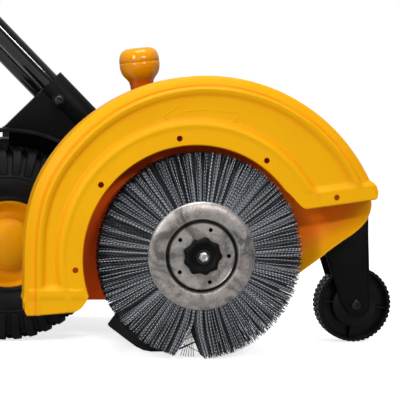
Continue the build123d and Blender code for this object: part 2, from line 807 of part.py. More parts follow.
# Write every node
save("guard_front_shell", guard_front_shell())
save("guard_back_shell", guard_back_shell())
save("guard_screws", guard_screws())
save("debris_flap", debris_flap())
save("bulkhead_plate", bulkhead_plate())
save("deck_pan", deck_pan())
save("caster_shelf", caster_shelf() - upright(caster_x, caster_y, 12, 199, 207))
save("side_plate_near", side_plate(247))
save("side_plate_far", side_plate(400))
save("gear_case_front", gear_case_front())
save("gear_case_rear", gear_case_rear())
save("shaft_bearings", shaft_bearings())
save("motor_housing", motor_housing())
save("motor_end_cover", motor_end_cover())
save("stator", stator())
save("carbon_brushes", carbon_brushes())
save("motor_gland", motor_gland())
save("case_screws", case_screws())
save("spindle", spindle())
save("output_gear", output_gear())
save("drive_flange", drive_flange())
save("hub_plate_front", hub_plate(True))
save("hub_plate_rear", hub_plate(False))
save("bristle_core", bristle_core())
save("bristle_ring", bristle_ring())
save("clamp_nut", clamp_nut())
save("hub_bolt", hub_bolt())
save("rotor_shaft", rotor_shaft())
save("rotor_core", rotor_core())
save("cooling_fan", cooling_fan())
save("height_lever", height_lever())
save("lever_knob", lever_knob())
save("lever_shaft", lever_shaft())
save("link_rod", link_rod())
save("crank_shaft", crank_shaft())
save("rear_axle", rear_axle())
save("axle_nuts", axle_nuts())
save("tyre_near", tyre(near_wheel_y))
save("tyre_far", tyre(far_wheel_y))
save("rim_near", rim(near_wheel_y, 1))
save("rim_far", rim(far_wheel_y, -1))
save("fender_near", fender(near_wheel_y, 1, 55, 125))
save("fender_far", fender(far_wheel_y, -1, 55, 84))
save("handle_bracket_near", handle_bracket(near_tube_y, False))
save("handle_bracket_far", handle_bracket(far_tube_y, True))
save("lower_tube_near", lower_tube(near_tube_y))
save("lower_tube_far", lower_tube(far_tube_y))
save("fold_bolts", fold_bolts())
save("clamp_knob_near", clamp_knob(near_tube_y, 1))
save("clamp_knob_far", clamp_knob(far_tube_y, -1))
save("upper_handle", upper_handle())
save("grips", grips())
save("switch_box", switch_box())
save("switch_bail", switch_bail())
save("lock_button", lock_button())
save("shaft_supports", shaft_supports())
save("lever_quadrant", lever_quadrant())
save("caster_head", caster_head())
save("caster_fork", caster_fork())
save("caster_wheel", caster_wheel())

low = [min(getattr(shape.bounding_box().min, axis) for shape in written.values()) for axis in "XYZ"]
high = [max(getattr(shape.bounding_box().max, axis) for shape in written.values()) for axis in "XYZ"]
print("nodes", len(written))
print("lowest corner", [round(value, 2) for value in low])
print("highest corner", [round(value, 2) for value in high])
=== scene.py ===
import bmesh
import bpy
import json
import math
import random
from mathutils import Matrix, Vector


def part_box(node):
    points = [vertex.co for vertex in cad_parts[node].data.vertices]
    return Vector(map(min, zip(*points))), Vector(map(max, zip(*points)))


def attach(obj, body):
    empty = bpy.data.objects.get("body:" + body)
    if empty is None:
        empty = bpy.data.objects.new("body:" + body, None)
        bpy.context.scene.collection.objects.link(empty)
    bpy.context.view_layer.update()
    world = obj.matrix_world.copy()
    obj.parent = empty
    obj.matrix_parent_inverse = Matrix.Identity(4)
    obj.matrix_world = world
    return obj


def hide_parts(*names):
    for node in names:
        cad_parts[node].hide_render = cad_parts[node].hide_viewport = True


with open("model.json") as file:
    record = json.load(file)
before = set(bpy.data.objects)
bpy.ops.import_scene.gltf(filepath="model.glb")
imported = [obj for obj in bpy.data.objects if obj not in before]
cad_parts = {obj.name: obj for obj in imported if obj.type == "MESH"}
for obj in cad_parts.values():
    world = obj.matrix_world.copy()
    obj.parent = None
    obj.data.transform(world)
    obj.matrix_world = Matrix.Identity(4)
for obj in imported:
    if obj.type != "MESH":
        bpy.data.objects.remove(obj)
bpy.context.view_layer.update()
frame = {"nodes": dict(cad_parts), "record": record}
nodes = frame["nodes"]
scene = bpy.context.scene

# Every length below is in millimetres from the machine's own datum: the brush axis for X,
# the front plane of the bristles for Y and the ground for Z. place() turns one into a point
# of the frame.
MM = 0.001
BRISTLE_LOW, BRISTLE_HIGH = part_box("bristle_ring")
DATUM = Vector(((BRISTLE_LOW.x + BRISTLE_HIGH.x) / 2, BRISTLE_LOW.y, 0.0))
AXLE = (BRISTLE_LOW.z + BRISTLE_HIGH.z) / 2 / MM
BRUSH_R = (BRISTLE_HIGH.z - BRISTLE_LOW.z) / 2 / MM
BRUSH_W = (BRISTLE_HIGH.y - BRISTLE_LOW.y) / MM


def place(x, y, z):
    return Vector((DATUM.x + x * MM, DATUM.y + y * MM, z * MM))


def from_datum(point):
    """A point of the frame in millimetres from the datum."""
    return (point - DATUM) / MM


def node_middle(name):
    """The middle of a CAD node's box, in millimetres from the datum."""
    low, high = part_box(name)
    return tuple(from_datum((low + high) / 2))


def around(count, start=0.0):
    """Evenly spaced angles round a full circle, in radians."""
    return [start + 2 * math.pi * index / count for index in range(count)]


def polar(x, z, radius, turn):
    """The point at this radius and angle from (x, z)."""
    return x + radius * math.cos(turn), z + radius * math.sin(turn)


# ---------------------------------------------------------------- materials
class NodeTree:
    """Short calls that add nodes to a tree, feed them and join them."""

    def __init__(self, tree):
        self.tree = tree

    def link(self, source, target):
        self.tree.links.new(source, target)

    def feed(self, socket, value):
        """Give a socket another node's output, a colour or a plain number or vector."""
        if isinstance(value, bpy.types.NodeSocket):
            self.link(value, socket)
        else:
            socket.default_value = (*value, 1.0) if socket.type == "RGBA" else value

    def add(self, kind, output, inputs=None, **settings):
        """Add a node with these settings and inputs, and return one of its outputs."""
        node = self.tree.nodes.new("ShaderNode" + kind)
        for name, value in settings.items():
            setattr(node, name, value)
        for key, value in (inputs or {}).items():
            self.feed(node.inputs[key], value)
        return node.outputs[output]


class Shader(NodeTree):
    """A material with one Principled shader and short calls for the usual textures."""

    def __init__(self, name, **sockets):
        self.material = bpy.data.materials.new(name)
        self.material.use_nodes = True
        super().__init__(self.material.node_tree)
        self.bsdf = self.tree.nodes["Principled BSDF"]
        self.coords = self.add("TexCoord", "Object")
        for socket, value in sockets.items():
            self.bsdf.inputs[socket.replace("_", " ")].default_value = value

    def attribute(self, name):
        return self.add("Attribute", "Fac", attribute_name=name)

    def from_axle(self):
        """Distance from the brush axis, with its two parts across and up, in metres."""
        across = self.math("SUBTRACT", self.add("SeparateXYZ", "X", {0: self.coords}), DATUM.x)
        up = self.math("SUBTRACT", self.add("SeparateXYZ", "Z", {0: self.coords}), AXLE * MM)
        squares = [self.math("MULTIPLY", part, part) for part in (across, up)]
        return self.math("SQRT", self.math("ADD", *squares), 0), across, up

    def stretched(self, scale):
        return self.add("Mapping", "Vector", {"Scale": scale, "Vector": self.coords})

    def noise(self, scale, detail=4.0, roughness=0.5, vector=None, distortion=0.0):
        return self.add("TexNoise", "Fac", {"Vector": vector or self.coords, "Scale": scale, "Detail": detail,
                                            "Roughness": roughness, "Distortion": distortion})

    def ramp(self, value, stops):
        """Turn a value into a colour; a stop's colour may be one number, for a grey."""
        node = self.tree.nodes.new("ShaderNodeValToRGB")
        elements = node.color_ramp.elements
        while len(elements) < len(stops):
            elements.new(0.5)
        for element, (position, colour) in zip(elements, stops):
            element.position = position
            grey = (colour, colour, colour) if isinstance(colour, (int, float)) else colour
            element.color = (*grey, 1.0)
        self.link(value, node.inputs["Fac"])
        return node.outputs["Color"]

    def math(self, operation, first, second):
        return self.add("Math", "Value", {0: first, 1: second}, operation=operation)

    def mix(self, factor, first, second, blend="MIX"):
        return self.add("Mix", 2, {0: factor, 6: first, 7: second}, data_type="RGBA", blend_type=blend)

    def colour(self, source):
        self.link(source, self.bsdf.inputs["Base Color"])

    def rough(self, value, low, high):
        spread = self.add("MapRange", "Result", {"Value": value, "To Min": low, "To Max": high})
        self.link(spread, self.bsdf.inputs["Roughness"])

    def bump(self, height, strength, distance):
        """Add a relief on top of those that the shader has already."""
        normal = self.bsdf.inputs["Normal"]
        inputs = {"Strength": strength, "Distance": distance, "Height": height}
        if normal.is_linked:
            inputs["Normal"] = normal.links[0].from_socket
        self.link(self.add("Bump", "Normal", inputs), normal)


def moulded_plastic(name, dark, light, low=0.32, high=0.5, grain=900.0, grain_height=0.00004,
                    shine=0.2, tint_and_painted_shade_colour=None, painted_shade_colour=None):
    """Injection-moulded plastic: faint flow mottling, a fine spark-eroded grain and rub marks.

    A mesh may carry attributes called edge and deep, which turn the colour towards the two others: deep is
    painted shade in hollows and on inner faces; edge is painted shade on the guard's shoulder, groove and
    panel corners, and a uniform tint that is the rims' own colour.
    """
    s = Shader(name, Specular_IOR_Level=shine)
    base = s.ramp(s.noise(9.0, 5.0, 0.6), [(0.3, dark), (0.7, light)])
    # Mix in the edge and deep colours: painted shade, and on the rims a uniform tint of their own.
    for attribute, colour in (("edge", tint_and_painted_shade_colour), ("deep", painted_shade_colour)):
        if colour:
            base = s.mix(s.attribute(attribute), base, colour)
    s.colour(base)
    s.rough(s.noise(60.0, 6.0, 0.7, distortion=0.4), low, high)
    s.bump(s.noise(grain, 2.0, 0.5), 0.25, grain_height)
    s.bump(s.noise(14.0, 2.0, 0.4), 0.15, 0.0006)
    return s.material


def painted_steel(name, dark, light, low, high, coat):
    """Paint over steel with a light orange-peel surface and fine dust."""
    s = Shader(name, Specular_IOR_Level=0.5, Coat_Weight=coat, Coat_Roughness=0.06)
    s.colour(s.ramp(s.noise(30.0, 6.0, 0.6), [(0.35, dark), (0.75, light)]))
    s.rough(s.noise(120.0, 5.0, 0.6), low, high)
    s.bump(s.noise(420.0, 2.0, 0.4), 0.12, 0.00006)
    return s.material


def plain_metal(name, dark, light, low, high, stretch=(1, 1, 1), scale=160.0):
    """Bare or plated metal with a drawn grain along the axis that stretch squeezes least."""
    s = Shader(name, Metallic=1.0)
    grain = s.noise(scale, 5.0, 0.65, vector=s.stretched(stretch))
    blotch = s.noise(22.0, 5.0, 0.6)
    s.colour(s.mix(blotch, s.ramp(grain, [(0.3, dark), (0.75, light)]), light))
    s.rough(grain, low, high)
    s.bump(grain, 0.12, 0.00005)
    return s.material


def hub_steel_wear_and_painted_light():
    """Pressed steel: fine rings and blotches, painted shade in the groove and painted highlight rings on the
    groove's outer wall and the outer rim.
    """
    s = Shader("hub_steel_wear_and_painted_light", Metallic=0.85)
    radius, across, up = s.from_axle()
    turned = s.add("CombineXYZ", 0, {0: s.math("MULTIPLY", radius, 900.0),
                                     1: s.math("MULTIPLY", s.math("ARCTAN2", up, across), 1.2)})
    rings = s.noise(1.0, 5.0, 0.7, vector=turned)
    blotch = s.noise(75.0, 8.0, 0.72)
    fine = s.noise(520.0, 4.0, 0.8)
    base = s.ramp(blotch, [(0.28, (0.26, 0.232, 0.218)), (0.48, (0.60, 0.55, 0.52)),
                           (0.72, (0.88, 0.81, 0.77))])
    base = s.mix(0.3, base, s.ramp(rings, [(0.3, (0.08, 0.07, 0.065)), (0.7, (0.42, 0.385, 0.36))]))
    base = s.mix(0.3, base, s.ramp(fine, [(0.38, (0.04, 0.035, 0.03)), (0.62, (0.55, 0.51, 0.48))]))
    smudge = s.ramp(s.noise(26.0, 3.0, 0.55, distortion=1.2), [(0.36, 0.40), (0.52, 1.0)])
    base = s.mix(1.0, base, smudge, "MULTIPLY")
    share = s.math("DIVIDE", radius, 0.070)
    # Painted shade: near black in the groove, and a little darker over the outer ring next to it.
    groove_painted_shade = s.ramp(share, [(0.585, 1.0), (0.60, 0.30), (0.612, 0.05), (0.645, 0.05), (0.655, 1.0),
                            (0.70, 0.85), (0.93, 1.0)])
    base = s.mix(1.0, base, groove_painted_shade, "MULTIPLY")
    # Painted highlight: light rings on the groove's outer wall and at the outer rim.
    painted_highlight_rings = s.ramp(share, [(0.645, 0.0), (0.662, 0.9), (0.685, 0.0), (0.945, 0.0), (0.957, 0.55),
                            (0.968, 0.0)])
    s.colour(s.mix(painted_highlight_rings, base, (0.80, 0.79, 0.77)))
    s.rough(blotch, 0.56, 0.36)
    s.bump(rings, 0.2, 0.00008)
    s.bump(blotch, 0.3, 0.00012)
    return s.material


def bristle_plastic():
    """Nylon filament: each strand has its own tone, broken by a painted highlight and painted shade for the
    lit and unlit sides of its crimp.
    """
    s = Shader("bristle_plastic", Roughness=0.42, Specular_IOR_Level=0.45)
    tone = s.attribute("tone")
    radius = s.from_axle()[0]
    turns = s.math("ADD", s.math("MULTIPLY", radius, 1500.0), s.math("MULTIPLY", tone, 190.0))
    # Painted highlight and shade: each strand turns light and dark along its length, for the lit and unlit
    # sides of its crimp.
    crimp_light_and_shade = s.math("ADD", s.math("MULTIPLY", s.math("SINE", turns, 0), 0.5), 0.5)
    base = s.ramp(tone, [(0.0, (0.004, 0.005, 0.007)), (0.4, (0.050, 0.058, 0.070)),
                         (0.75, (0.24, 0.27, 0.31)), (1.0, (0.62, 0.66, 0.70))])
    s.colour(s.mix(crimp_light_and_shade, s.mix(1.0, base, (0.14, 0.14, 0.15), "MULTIPLY"), base))
    return s.material


def tyre_rubber():
    """Black rubber, dull and dusty in patches."""
    s = Shader("tyre_rubber", Specular_IOR_Level=0.18)
    dust = s.noise(38.0, 6.0, 0.65)
    s.colour(s.ramp(dust, [(0.35, (0.002, 0.002, 0.0021)), (0.8, (0.008, 0.008, 0.0082))]))
    s.rough(s.noise(90.0, 5.0, 0.6), 0.48, 0.75)
    s.bump(s.noise(1300.0, 3.0, 0.6), 0.3, 0.00005)
    return s.material


def foam():
    """Soft grip skin with small open cells."""
    s = Shader("grip_foam_skin", Roughness=0.85, Specular_IOR_Level=0.3)
    cells = s.noise(2200.0, 3.0, 0.7)
    s.colour(s.ramp(cells, [(0.3, 0.008), (0.75, 0.035)]))
    s.bump(cells, 0.5, 0.00018)
    return s.material


def cast_metal():
    """Die-cast alloy with a grainy, slightly mottled skin."""
    s = Shader("cast_alloy_skin", Metallic=0.9)
    skin = s.noise(700.0, 4.0, 0.7)
    s.colour(s.ramp(s.noise(40.0, 6.0, 0.6), [(0.3, (0.30, 0.30, 0.31)), (0.75, (0.52, 0.52, 0.53))]))
    s.rough(skin, 0.42, 0.62)
    s.bump(skin, 0.4, 0.0001)
    return s.material


def pale_floor():
    """A floor that's white to the camera and grey to reflections, so that black parts stay black."""
    s = Shader("pale_floor", Roughness=0.9, Specular_IOR_Level=0.1)
    s.feed(s.bsdf.inputs["Emission Color"], (1.0, 1.0, 1.0))
    seen = s.add("LightPath", "Is Camera Ray")
    s.link(s.math("ADD", s.math("MULTIPLY", seen, 0.62), 0.12), s.bsdf.inputs["Emission Strength"])
    pale = s.ramp(s.noise(3.0, 2.0, 0.4), [(0.0, 0.93), (1.0, 0.96)])
    s.colour(s.mix(seen, (0.34, 0.34, 0.34), pale))
    return s.material


# The edge yellow is painted shade on the guard's relief and a plain tint on the rims; the deep yellow is
# painted shade inside the mouldings.
YELLOW_DARK, YELLOW_LIGHT = (0.85, 0.395, 0.0), (0.88, 0.43, 0.0004)
YELLOW_TINT_AND_PAINTED_SHADE, YELLOW_PAINTED_SHADE = (0.86, 0.27, 0.0003), (0.90, 0.105, 0.0005)
MATERIALS = {
    "yellow_plastic": moulded_plastic("yellow_moulding", YELLOW_DARK, YELLOW_LIGHT, 0.34, 0.48, 700.0,
                                      shine=0.12, tint_and_painted_shade_colour=YELLOW_TINT_AND_PAINTED_SHADE, painted_shade_colour=YELLOW_PAINTED_SHADE),
    # Its reddish deep colour is painted shade on the knob's neck and body.
    "yellow_lever": moulded_plastic("yellow_lever_moulding", (0.84, 0.33, 0.0), (0.88, 0.38, 0.0004),
                                    0.08, 0.16, 300.0, 0.000004, 0.42, painted_shade_colour=(0.60, 0.09, 0.001)),
    "black_plastic": moulded_plastic("black_moulding", (0.002, 0.002, 0.0023), (0.006, 0.006, 0.0066),
                                     0.36, 0.56, shine=0.1),
    "fan_plastic": moulded_plastic("grey_fan_moulding", (0.03, 0.03, 0.033), (0.06, 0.06, 0.065)),
    "caster_plastic": moulded_plastic("caster_moulding", 0.002, 0.006, 0.24, 0.42),
    "button_plastic": moulded_plastic("red_button_moulding", (0.42, 0.015, 0.01), (0.52, 0.025, 0.015),
                                      0.25, 0.4),
    "carbon": moulded_plastic("carbon_block", 0.012, 0.03, 0.5, 0.7),
    "bristle_base": moulded_plastic("bristle_bed", (0.004, 0.004, 0.005), (0.010, 0.010, 0.012), 0.6, 0.8),
    "flap_rubber": moulded_plastic("flap_sheet_rubber", (0.007, 0.007, 0.008), (0.016, 0.016, 0.017),
                                   0.5, 0.72),
    "gloss_black_paint": painted_steel("gloss_black_enamel", (0.002, 0.002, 0.0025),
                                       (0.004, 0.004, 0.005), 0.10, 0.16, 0.6),
    "frame_paint": painted_steel("frame_enamel", (0.010, 0.010, 0.011), (0.022, 0.022, 0.023),
                                 0.32, 0.5, 0.15),
    "black_screws": plain_metal("black_oxide", (0.015, 0.015, 0.016), (0.06, 0.06, 0.062), 0.25, 0.45),
    "zinc_steel": plain_metal("zinc_plate", (0.42, 0.42, 0.41), (0.66, 0.66, 0.63), 0.2, 0.42),
    "gear_steel": plain_metal("cut_steel", (0.30, 0.30, 0.30), (0.50, 0.50, 0.50), 0.25, 0.45),
    "core_iron": plain_metal("core_laminations", (0.08, 0.075, 0.07), (0.20, 0.19, 0.18), 0.45, 0.65,
                             (1, 30, 1)),
    "bush_brass": plain_metal("bronze_bush", (0.42, 0.26, 0.10), (0.62, 0.42, 0.20), 0.25, 0.45),
    "worn_steel": hub_steel_wear_and_painted_light(),
    "cast_alloy": cast_metal(),
    "bristle": bristle_plastic(),
    "tyre_rubber": tyre_rubber(),
    "grip_foam": foam(),
}

node_slot = {part["node"]: part["material_slot"] for part in frame["record"]["subparts"]}
bodies = frame["record"]["behaviour"]["bodies"]
node_body = {member: body for body, members in bodies.items() for member in members}

for name, node in nodes.items():
    node.data.materials.clear()
    node.data.materials.append(MATERIALS[node_slot[name]])


# ---------------------------------------------------------------- mesh helpers
remade = set()


def weld(mesh):
    """Join doubled points of a closed mesh and turn all its faces outwards."""
    work = bmesh.new()
    work.from_mesh(mesh)
    bmesh.ops.remove_doubles(work, verts=work.verts, dist=1e-6)
    bmesh.ops.recalc_face_normals(work, faces=work.faces)
    work.to_mesh(mesh)
    work.free()


def dress(piece, body, slot, replaced=(), sharp=35.0):
    """Clean a mesh, shade it, give it its material and say which body it rides on."""
    mesh = piece.data
    weld(mesh)
    mesh.shade_smooth()
    mesh.set_sharp_from_angle(angle=math.radians(sharp))
    mesh.materials.clear()
    mesh.materials.append(MATERIALS[slot])
    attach(piece, body)
    if replaced:
        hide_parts(*replaced)
        remade.update(replaced)
    return piece


def link_object(name, data):
    thing = bpy.data.objects.new(name, data)
    scene.collection.objects.link(thing)
    return thing


class Builder:
    """Collects points and faces of several shapes that become one piece."""

    def __init__(self):
        self.points = []
        self.faces = []

    def add(self, points, faces):
        start = len(self.points)
        self.points.extend(points)
        self.faces.extend(tuple(start + index for index in face) for face in faces)

    def grid(self, rows, wrap_rows=False, wrap_columns=False):
        """Join rows of equally many points with four-sided faces."""
        count = len(rows[0])
        faces = []
        row_total = len(rows) if wrap_rows else len(rows) - 1
        column_total = count if wrap_columns else count - 1
        for r in range(row_total):
            below, above = r * count, (r + 1) % len(rows) * count
            for c in range(column_total):
                d = (c + 1) % count
                faces.append((below + c, below + d, above + d, above + c))
        self.add([point for row in rows for point in row], faces)

    def lathe(self, profile, x, z, segments):
        """Turn a closed profile of (radius, y) points about a line along Y."""
        rows = []
        for turn in around(segments):
            spots = [(*polar(x, z, radius, turn), y) for radius, y in profile]
            rows.append([(px, y, pz) for px, pz, y in spots])
        self.grid(rows, wrap_rows=True, wrap_columns=True)

    def upright_lathe(self, profile, x, y, segments):
        """Turn a closed profile of (radius, z) points about an upright line."""
        rows = [[(*polar(x, y, radius, turn), z) for radius, z in profile] for turn in around(segments)]
        self.grid(rows, wrap_rows=True, wrap_columns=True)

    def caps(self, count, rings=2):
        """Close both ends of the grid added last, which has this many rings of this many points."""
        last = len(self.points) - count
        first = len(self.points) - count * rings
        self.faces.append(tuple(range(first, first + count)))
        self.faces.append(tuple(range(last + count - 1, last - 1, -1)))

    def slab(self, outline, y_low, y_high, bevel=0.8, steps=3):
        """A flat plate with rounded edges from an outline of (x, z) points."""
        rings = []
        for end, sign in ((y_low, 1), (y_high, -1)):
            bend = []
            for step in range(steps + 1):
                turn = math.pi / 2 * step / steps
                inset = bevel * (1 - math.sin(turn))
                depth = bevel * (1 - math.cos(turn))
                bend.append([(px, end + sign * depth, pz) for px, pz in shrink(outline, inset)])
            rings.extend(bend if sign > 0 else reversed(bend))
        self.grid(rings, wrap_columns=True)
        self.caps(len(outline), len(rings))

    def tube(self, path, radius, sides, cap=True):
        """A round tube along a list of points, with one radius or a list of one for each point."""
        radii = radius if isinstance(radius, (list, tuple)) else [radius] * len(path)
        vectors = [Vector(point) for point in path]
        turns = around(sides)
        rows = []
        side = None
        for index, point in enumerate(vectors):
            along = direction(vectors, index)
            if side is None:
                side = along.orthogonal().normalized()
            side = (side - along * side.dot(along)).normalized()
            other = along.cross(side)
            rows.append([tuple(point + (side * math.cos(turn) + other * math.sin(turn)) * radii[index])
                         for turn in turns])
        self.grid(rows, wrap_columns=True)
        if cap:
            self.caps(sides, len(rows))

    def piece(self, name):
        mesh = bpy.data.meshes.new(name)
        mesh.from_pydata([place(*point) for point in self.points], [], self.faces)
        return link_object(name, mesh)


def direction(points, index):
    """Unit vector along an open line of points at one of them."""
    return (points[min(index + 1, len(points) - 1)] - points[max(index - 1, 0)]).normalized()


def shrink(outline, amount):
    """Move every corner of an outline inwards by the same distance from its two sides."""
    if amount == 0:
        return list(outline)
    corners = [Vector(point) for point in outline]
    following = corners[1:] + corners[:1]
    area = sum(here.x * after.y - after.x * here.y for here, after in zip(corners, following))
    sign = 1 if area > 0 else -1
    moved = []
    for before, here, after in zip(corners[-1:] + corners[:-1], corners, following):
        first, second = [Vector((-side.y, side.x)) * sign
                         for side in ((here - before).normalized(), (after - here).normalized())]
        middle = first + second
        if middle.length < 1e-6:
            middle = first
        middle.normalize()
        moved.append(tuple(here + middle * (amount / max(middle.dot(first), 0.5))))
    return moved


def arc(x, z, radius, start, end, count):
    """Points along a circle from one angle to another, in degrees."""
    return [polar(x, z, radius, math.radians(start + (end - start) * index / count))
            for index in range(count + 1)]


def rounded_corners(outline, radius, count):
    """Replace every corner by an arc, or a smaller one where its two sides are short."""
    points = []
    for index, corner in enumerate(outline):
        here = Vector(corner)
        to_before = Vector(outline[index - 1]) - here
        to_after = Vector(outline[(index + 1) % len(outline)]) - here
        half = to_before.angle(to_after) / 2
        reach = min(radius / math.tan(half), to_before.length * 0.49, to_after.length * 0.49)
        size = reach * math.tan(half)
        middle = (to_before.normalized() + to_after.normalized()).normalized()
        centre = here + middle * (size / math.sin(half))
        first = here + to_before.normalized() * reach - centre
        last = here + to_after.normalized() * reach - centre
        sweep = first.angle_signed(last)
        for step in range(count + 1):
            points.append(tuple(centre + Matrix.Rotation(-sweep * step / count, 2) @ first))
    return points


def smooth(value, low, high):
    """Ease from 0 at low to 1 at high, where low may be the larger one."""
    t = min(max((value - low) / (high - low), 0.0), 1.0)
    return t * t * (3 - 2 * t)


def swell(value, middle, width):
    """A rounded ridge that is 1 at its middle."""
    return math.exp(-((value - middle) / width) ** 2)


def cut_with(piece, cutter):
    """Take one mesh out of another, then delete the tool."""
    modifier = piece.modifiers.new("cut", "BOOLEAN")
    modifier.operation = "DIFFERENCE"
    modifier.solver = "EXACT"
    modifier.object = cutter
    apply_modifiers(piece)
    bpy.data.objects.remove(cutter)


def apply_modifiers(piece):
    """Replace a piece's mesh by what its modifiers make of it."""
    bpy.context.view_layer.update()
    graph = bpy.context.evaluated_depsgraph_get()
    mesh = bpy.data.meshes.new_from_object(piece.evaluated_get(graph))
    piece.modifiers.clear()
    piece.data = mesh


DEFAULT_BEVEL = 0.5
NODE_BEVELS = {
    3.0: ("switch_box",),
    2.2: ("handle_bracket_near", "handle_bracket_far"),
    2.0: ("clamp_knob_near", "clamp_knob_far"),
    1.6: ("motor_end_cover",),
    1.5: ("gear_case_front", "gear_case_rear", "grips"),
    1.2: ("fender_near", "fender_far", "motor_housing"),
    1.0: ("debris_flap", "switch_bail", "lock_button"),
    0.8: ("deck_pan", "caster_shelf", "caster_head"),
    0.4: ("case_screws", "guard_screws", "upper_handle"),
    0.3: ("cooling_fan", "stator", "rotor_core"),
    0.1: ("output_gear", "rotor_shaft"),
}
node_bevel = {name: bevel for bevel, names in NODE_BEVELS.items() for name in names}


def finished_copy(name):
    """A CAD node with its machining or moulding radii: flat faces joined, then edges rounded."""
    mesh = nodes[name].data.copy()
    piece = link_object(name + "_finish", mesh)
    work = bmesh.new()
    work.from_mesh(mesh)
    bmesh.ops.remove_doubles(work, verts=work.verts, dist=1e-6)
    bmesh.ops.dissolve_limit(work, angle_limit=math.radians(0.6), verts=work.verts, edges=work.edges)
    work.to_mesh(mesh)
    work.free()
    modifier = piece.modifiers.new("round", "BEVEL")
    modifier.width = node_bevel.get(name, DEFAULT_BEVEL) * MM
    modifier.segments = 2
    modifier.limit_method = "ANGLE"
    modifier.angle_limit = math.radians(32)
    modifier.use_clamp_overlap = True
    apply_modifiers(piece)
    return dress(piece, node_body[name], node_slot[name], (name,))


# ---------------------------------------------------------------- guard
# The hood's outer arc, the brush opening, the left edge and where it bends into the hood, the depths
# of face and back, the two lower edges (start and slope), the holes, and where each relief stands.
GUARD_X, GUARD_Z, GUARD_R = 7.5, 120.0, 234.4
OPENING_X, OPENING_Z, OPENING_R = -7.2, 126.5, 141.3
GUARD_LEFT = -219.4
SIDE_LOW, SIDE_TOP = 125.0, 243.0
GUARD_FRONT, GUARD_BACK = -4.0, 51.0
GUARD_WALL = 2.6
FLANGE_DEPTH, PANEL_DEPTH = -2.5, 4.6
RIGHT_EDGE = (134.0, 189.2, math.radians(8.1))
LEFT_EDGE = (-216.0, 56.0, math.radians(4.6))
HOLE_CIRCLE, HOLE_ANGLES, LIP_HOLE, HOLE_R = 151.2, (54.7, 98.9, 142.8, 185.2), (171.6, 204.1), 3.7
SHOULDER, GROOVE = 12.0, 13.2
EAR_FROM, FOOT_FROM = 90, -120
BOWL_FROM, BOWL_TO = 70, 125


def guard_side(z):
    """The guard's left edge at one height: upright at the foot, then bending into the hood."""
    if z <= SIDE_LOW:
        return GUARD_LEFT
    half_chord = math.sqrt(GUARD_R ** 2 - (SIDE_TOP - GUARD_Z) ** 2)
    slope = (SIDE_TOP - GUARD_Z) / half_chord
    span = SIDE_TOP - SIDE_LOW
    t = (z - SIDE_LOW) / span
    ease = 3 * t * t - 2 * t ** 3
    return GUARD_LEFT + (GUARD_X - half_chord - GUARD_LEFT) * ease + span * slope * (t ** 3 - t * t)


def resample(points, count):
    """Equally spaced points along a line through the given ones."""
    vectors = [Vector(point) for point in points]
    lengths = [0.0]
    for first, second in zip(vectors, vectors[1:]):
        lengths.append(lengths[-1] + (second - first).length)
    result = []
    at = 0
    for index in range(count + 1):
        target = lengths[-1] * index / count
        while at < len(vectors) - 2 and lengths[at + 1] < target:
            at += 1
        span = lengths[at + 1] - lengths[at]
        result.append(tuple(vectors[at].lerp(vectors[at + 1], (target - lengths[at]) / span if span else 0)))
    return result


def guard_outer_line():
    """From the left foot up the side, round the hood and down to the ear at the right."""
    line = [(-216.0, 56.0), (-218.4, 61.0), (-218.9, 71.0), (-220.6, 74.0), (-220.4, 78.0), (-219.4, 80.0)]
    line += [(guard_side(z), z) for z in range(90, 240, 5)]
    start = 180 - math.degrees(math.asin((SIDE_TOP - GUARD_Z) / GUARD_R))
    line += arc(GUARD_X, GUARD_Z, GUARD_R, start, 27.0, 150)
    return line + [(221.0, 223.2), (225.0, 218.0), (227.0, 211.0), (226.2, 205.5), (223.7, 202.0)]


def guard_outer_depth(x, z):
    """Distance of a point inside the outer edge."""
    if x < 0 and z < SIDE_TOP:
        slope = (guard_side(z + 1) - guard_side(z - 1)) / 2
        return (x - guard_side(z)) / math.sqrt(1 + slope * slope)
    return GUARD_R - math.hypot(x - GUARD_X, z - GUARD_Z)


def opening_distance(x, z):
    """Distance of a point outside the brush opening."""
    return math.hypot(x - OPENING_X, z - OPENING_Z) - OPENING_R


def above_edge(x, z, start_x, start_z, slope):
    """Height of a point over one of the guard's two lower edges, square to the edge."""
    return (z - start_z - (x - start_x) * math.tan(slope)) * math.cos(slope)


def rounded_edge(distance, radius):
    """How far a surface falls back at this distance from an edge with this radius."""
    distance = max(distance, 0.0)
    if distance >= radius:
        return 0.0
    return radius - math.sqrt(max(radius * radius - (radius - distance) ** 2, 0.0))


def guard_front_height(x, z):
    """Depth of the front face: rolled shoulder, groove, ridge, sunk panel, slope and flat flange."""
    outer, inner = guard_outer_depth(x, z), opening_distance(x, z)
    sunk = smooth(outer, 19.5, 26) * smooth(inner, 28, 36)
    bottom, relief, foot_ledge = 1000.0, 1.0, 0.0
    if x > EAR_FROM:
        bottom = above_edge(x, z, *RIGHT_EDGE)
        relief = smooth(bottom, 18, 25)
        sunk *= smooth(bottom, 18, 27)
    if x < FOOT_FROM:
        foot_ledge = smooth(z, 90, 87) * smooth(z, 74, 82) * smooth(outer, 2, 6) * smooth(inner, 3, 9)
        if z < AXLE:
            bottom = above_edge(x, z, *LEFT_EDGE)
            sunk *= smooth(bottom, 30, 36)
    depth = FLANGE_DEPTH + PANEL_DEPTH * sunk - 1.4 * foot_ledge
    roll = (1 - min(max(outer, 0.0), SHOULDER) / SHOULDER) ** 1.5
    depth += smooth(outer, 14.0, 11.5) * relief * (1.6 + 6.4 * roll)
    depth += relief * 1.4 * (swell(outer, GROOVE, 1.3) - swell(outer, 16.8, 2.1))
    depth -= relief * 1.3 * swell(inner, 25.0, 3.4)
    depth += rounded_edge(outer, 3.0) * (1 - relief) + rounded_edge(inner, 1.6) + rounded_edge(bottom, 1.8)
    return max(depth, GUARD_FRONT)


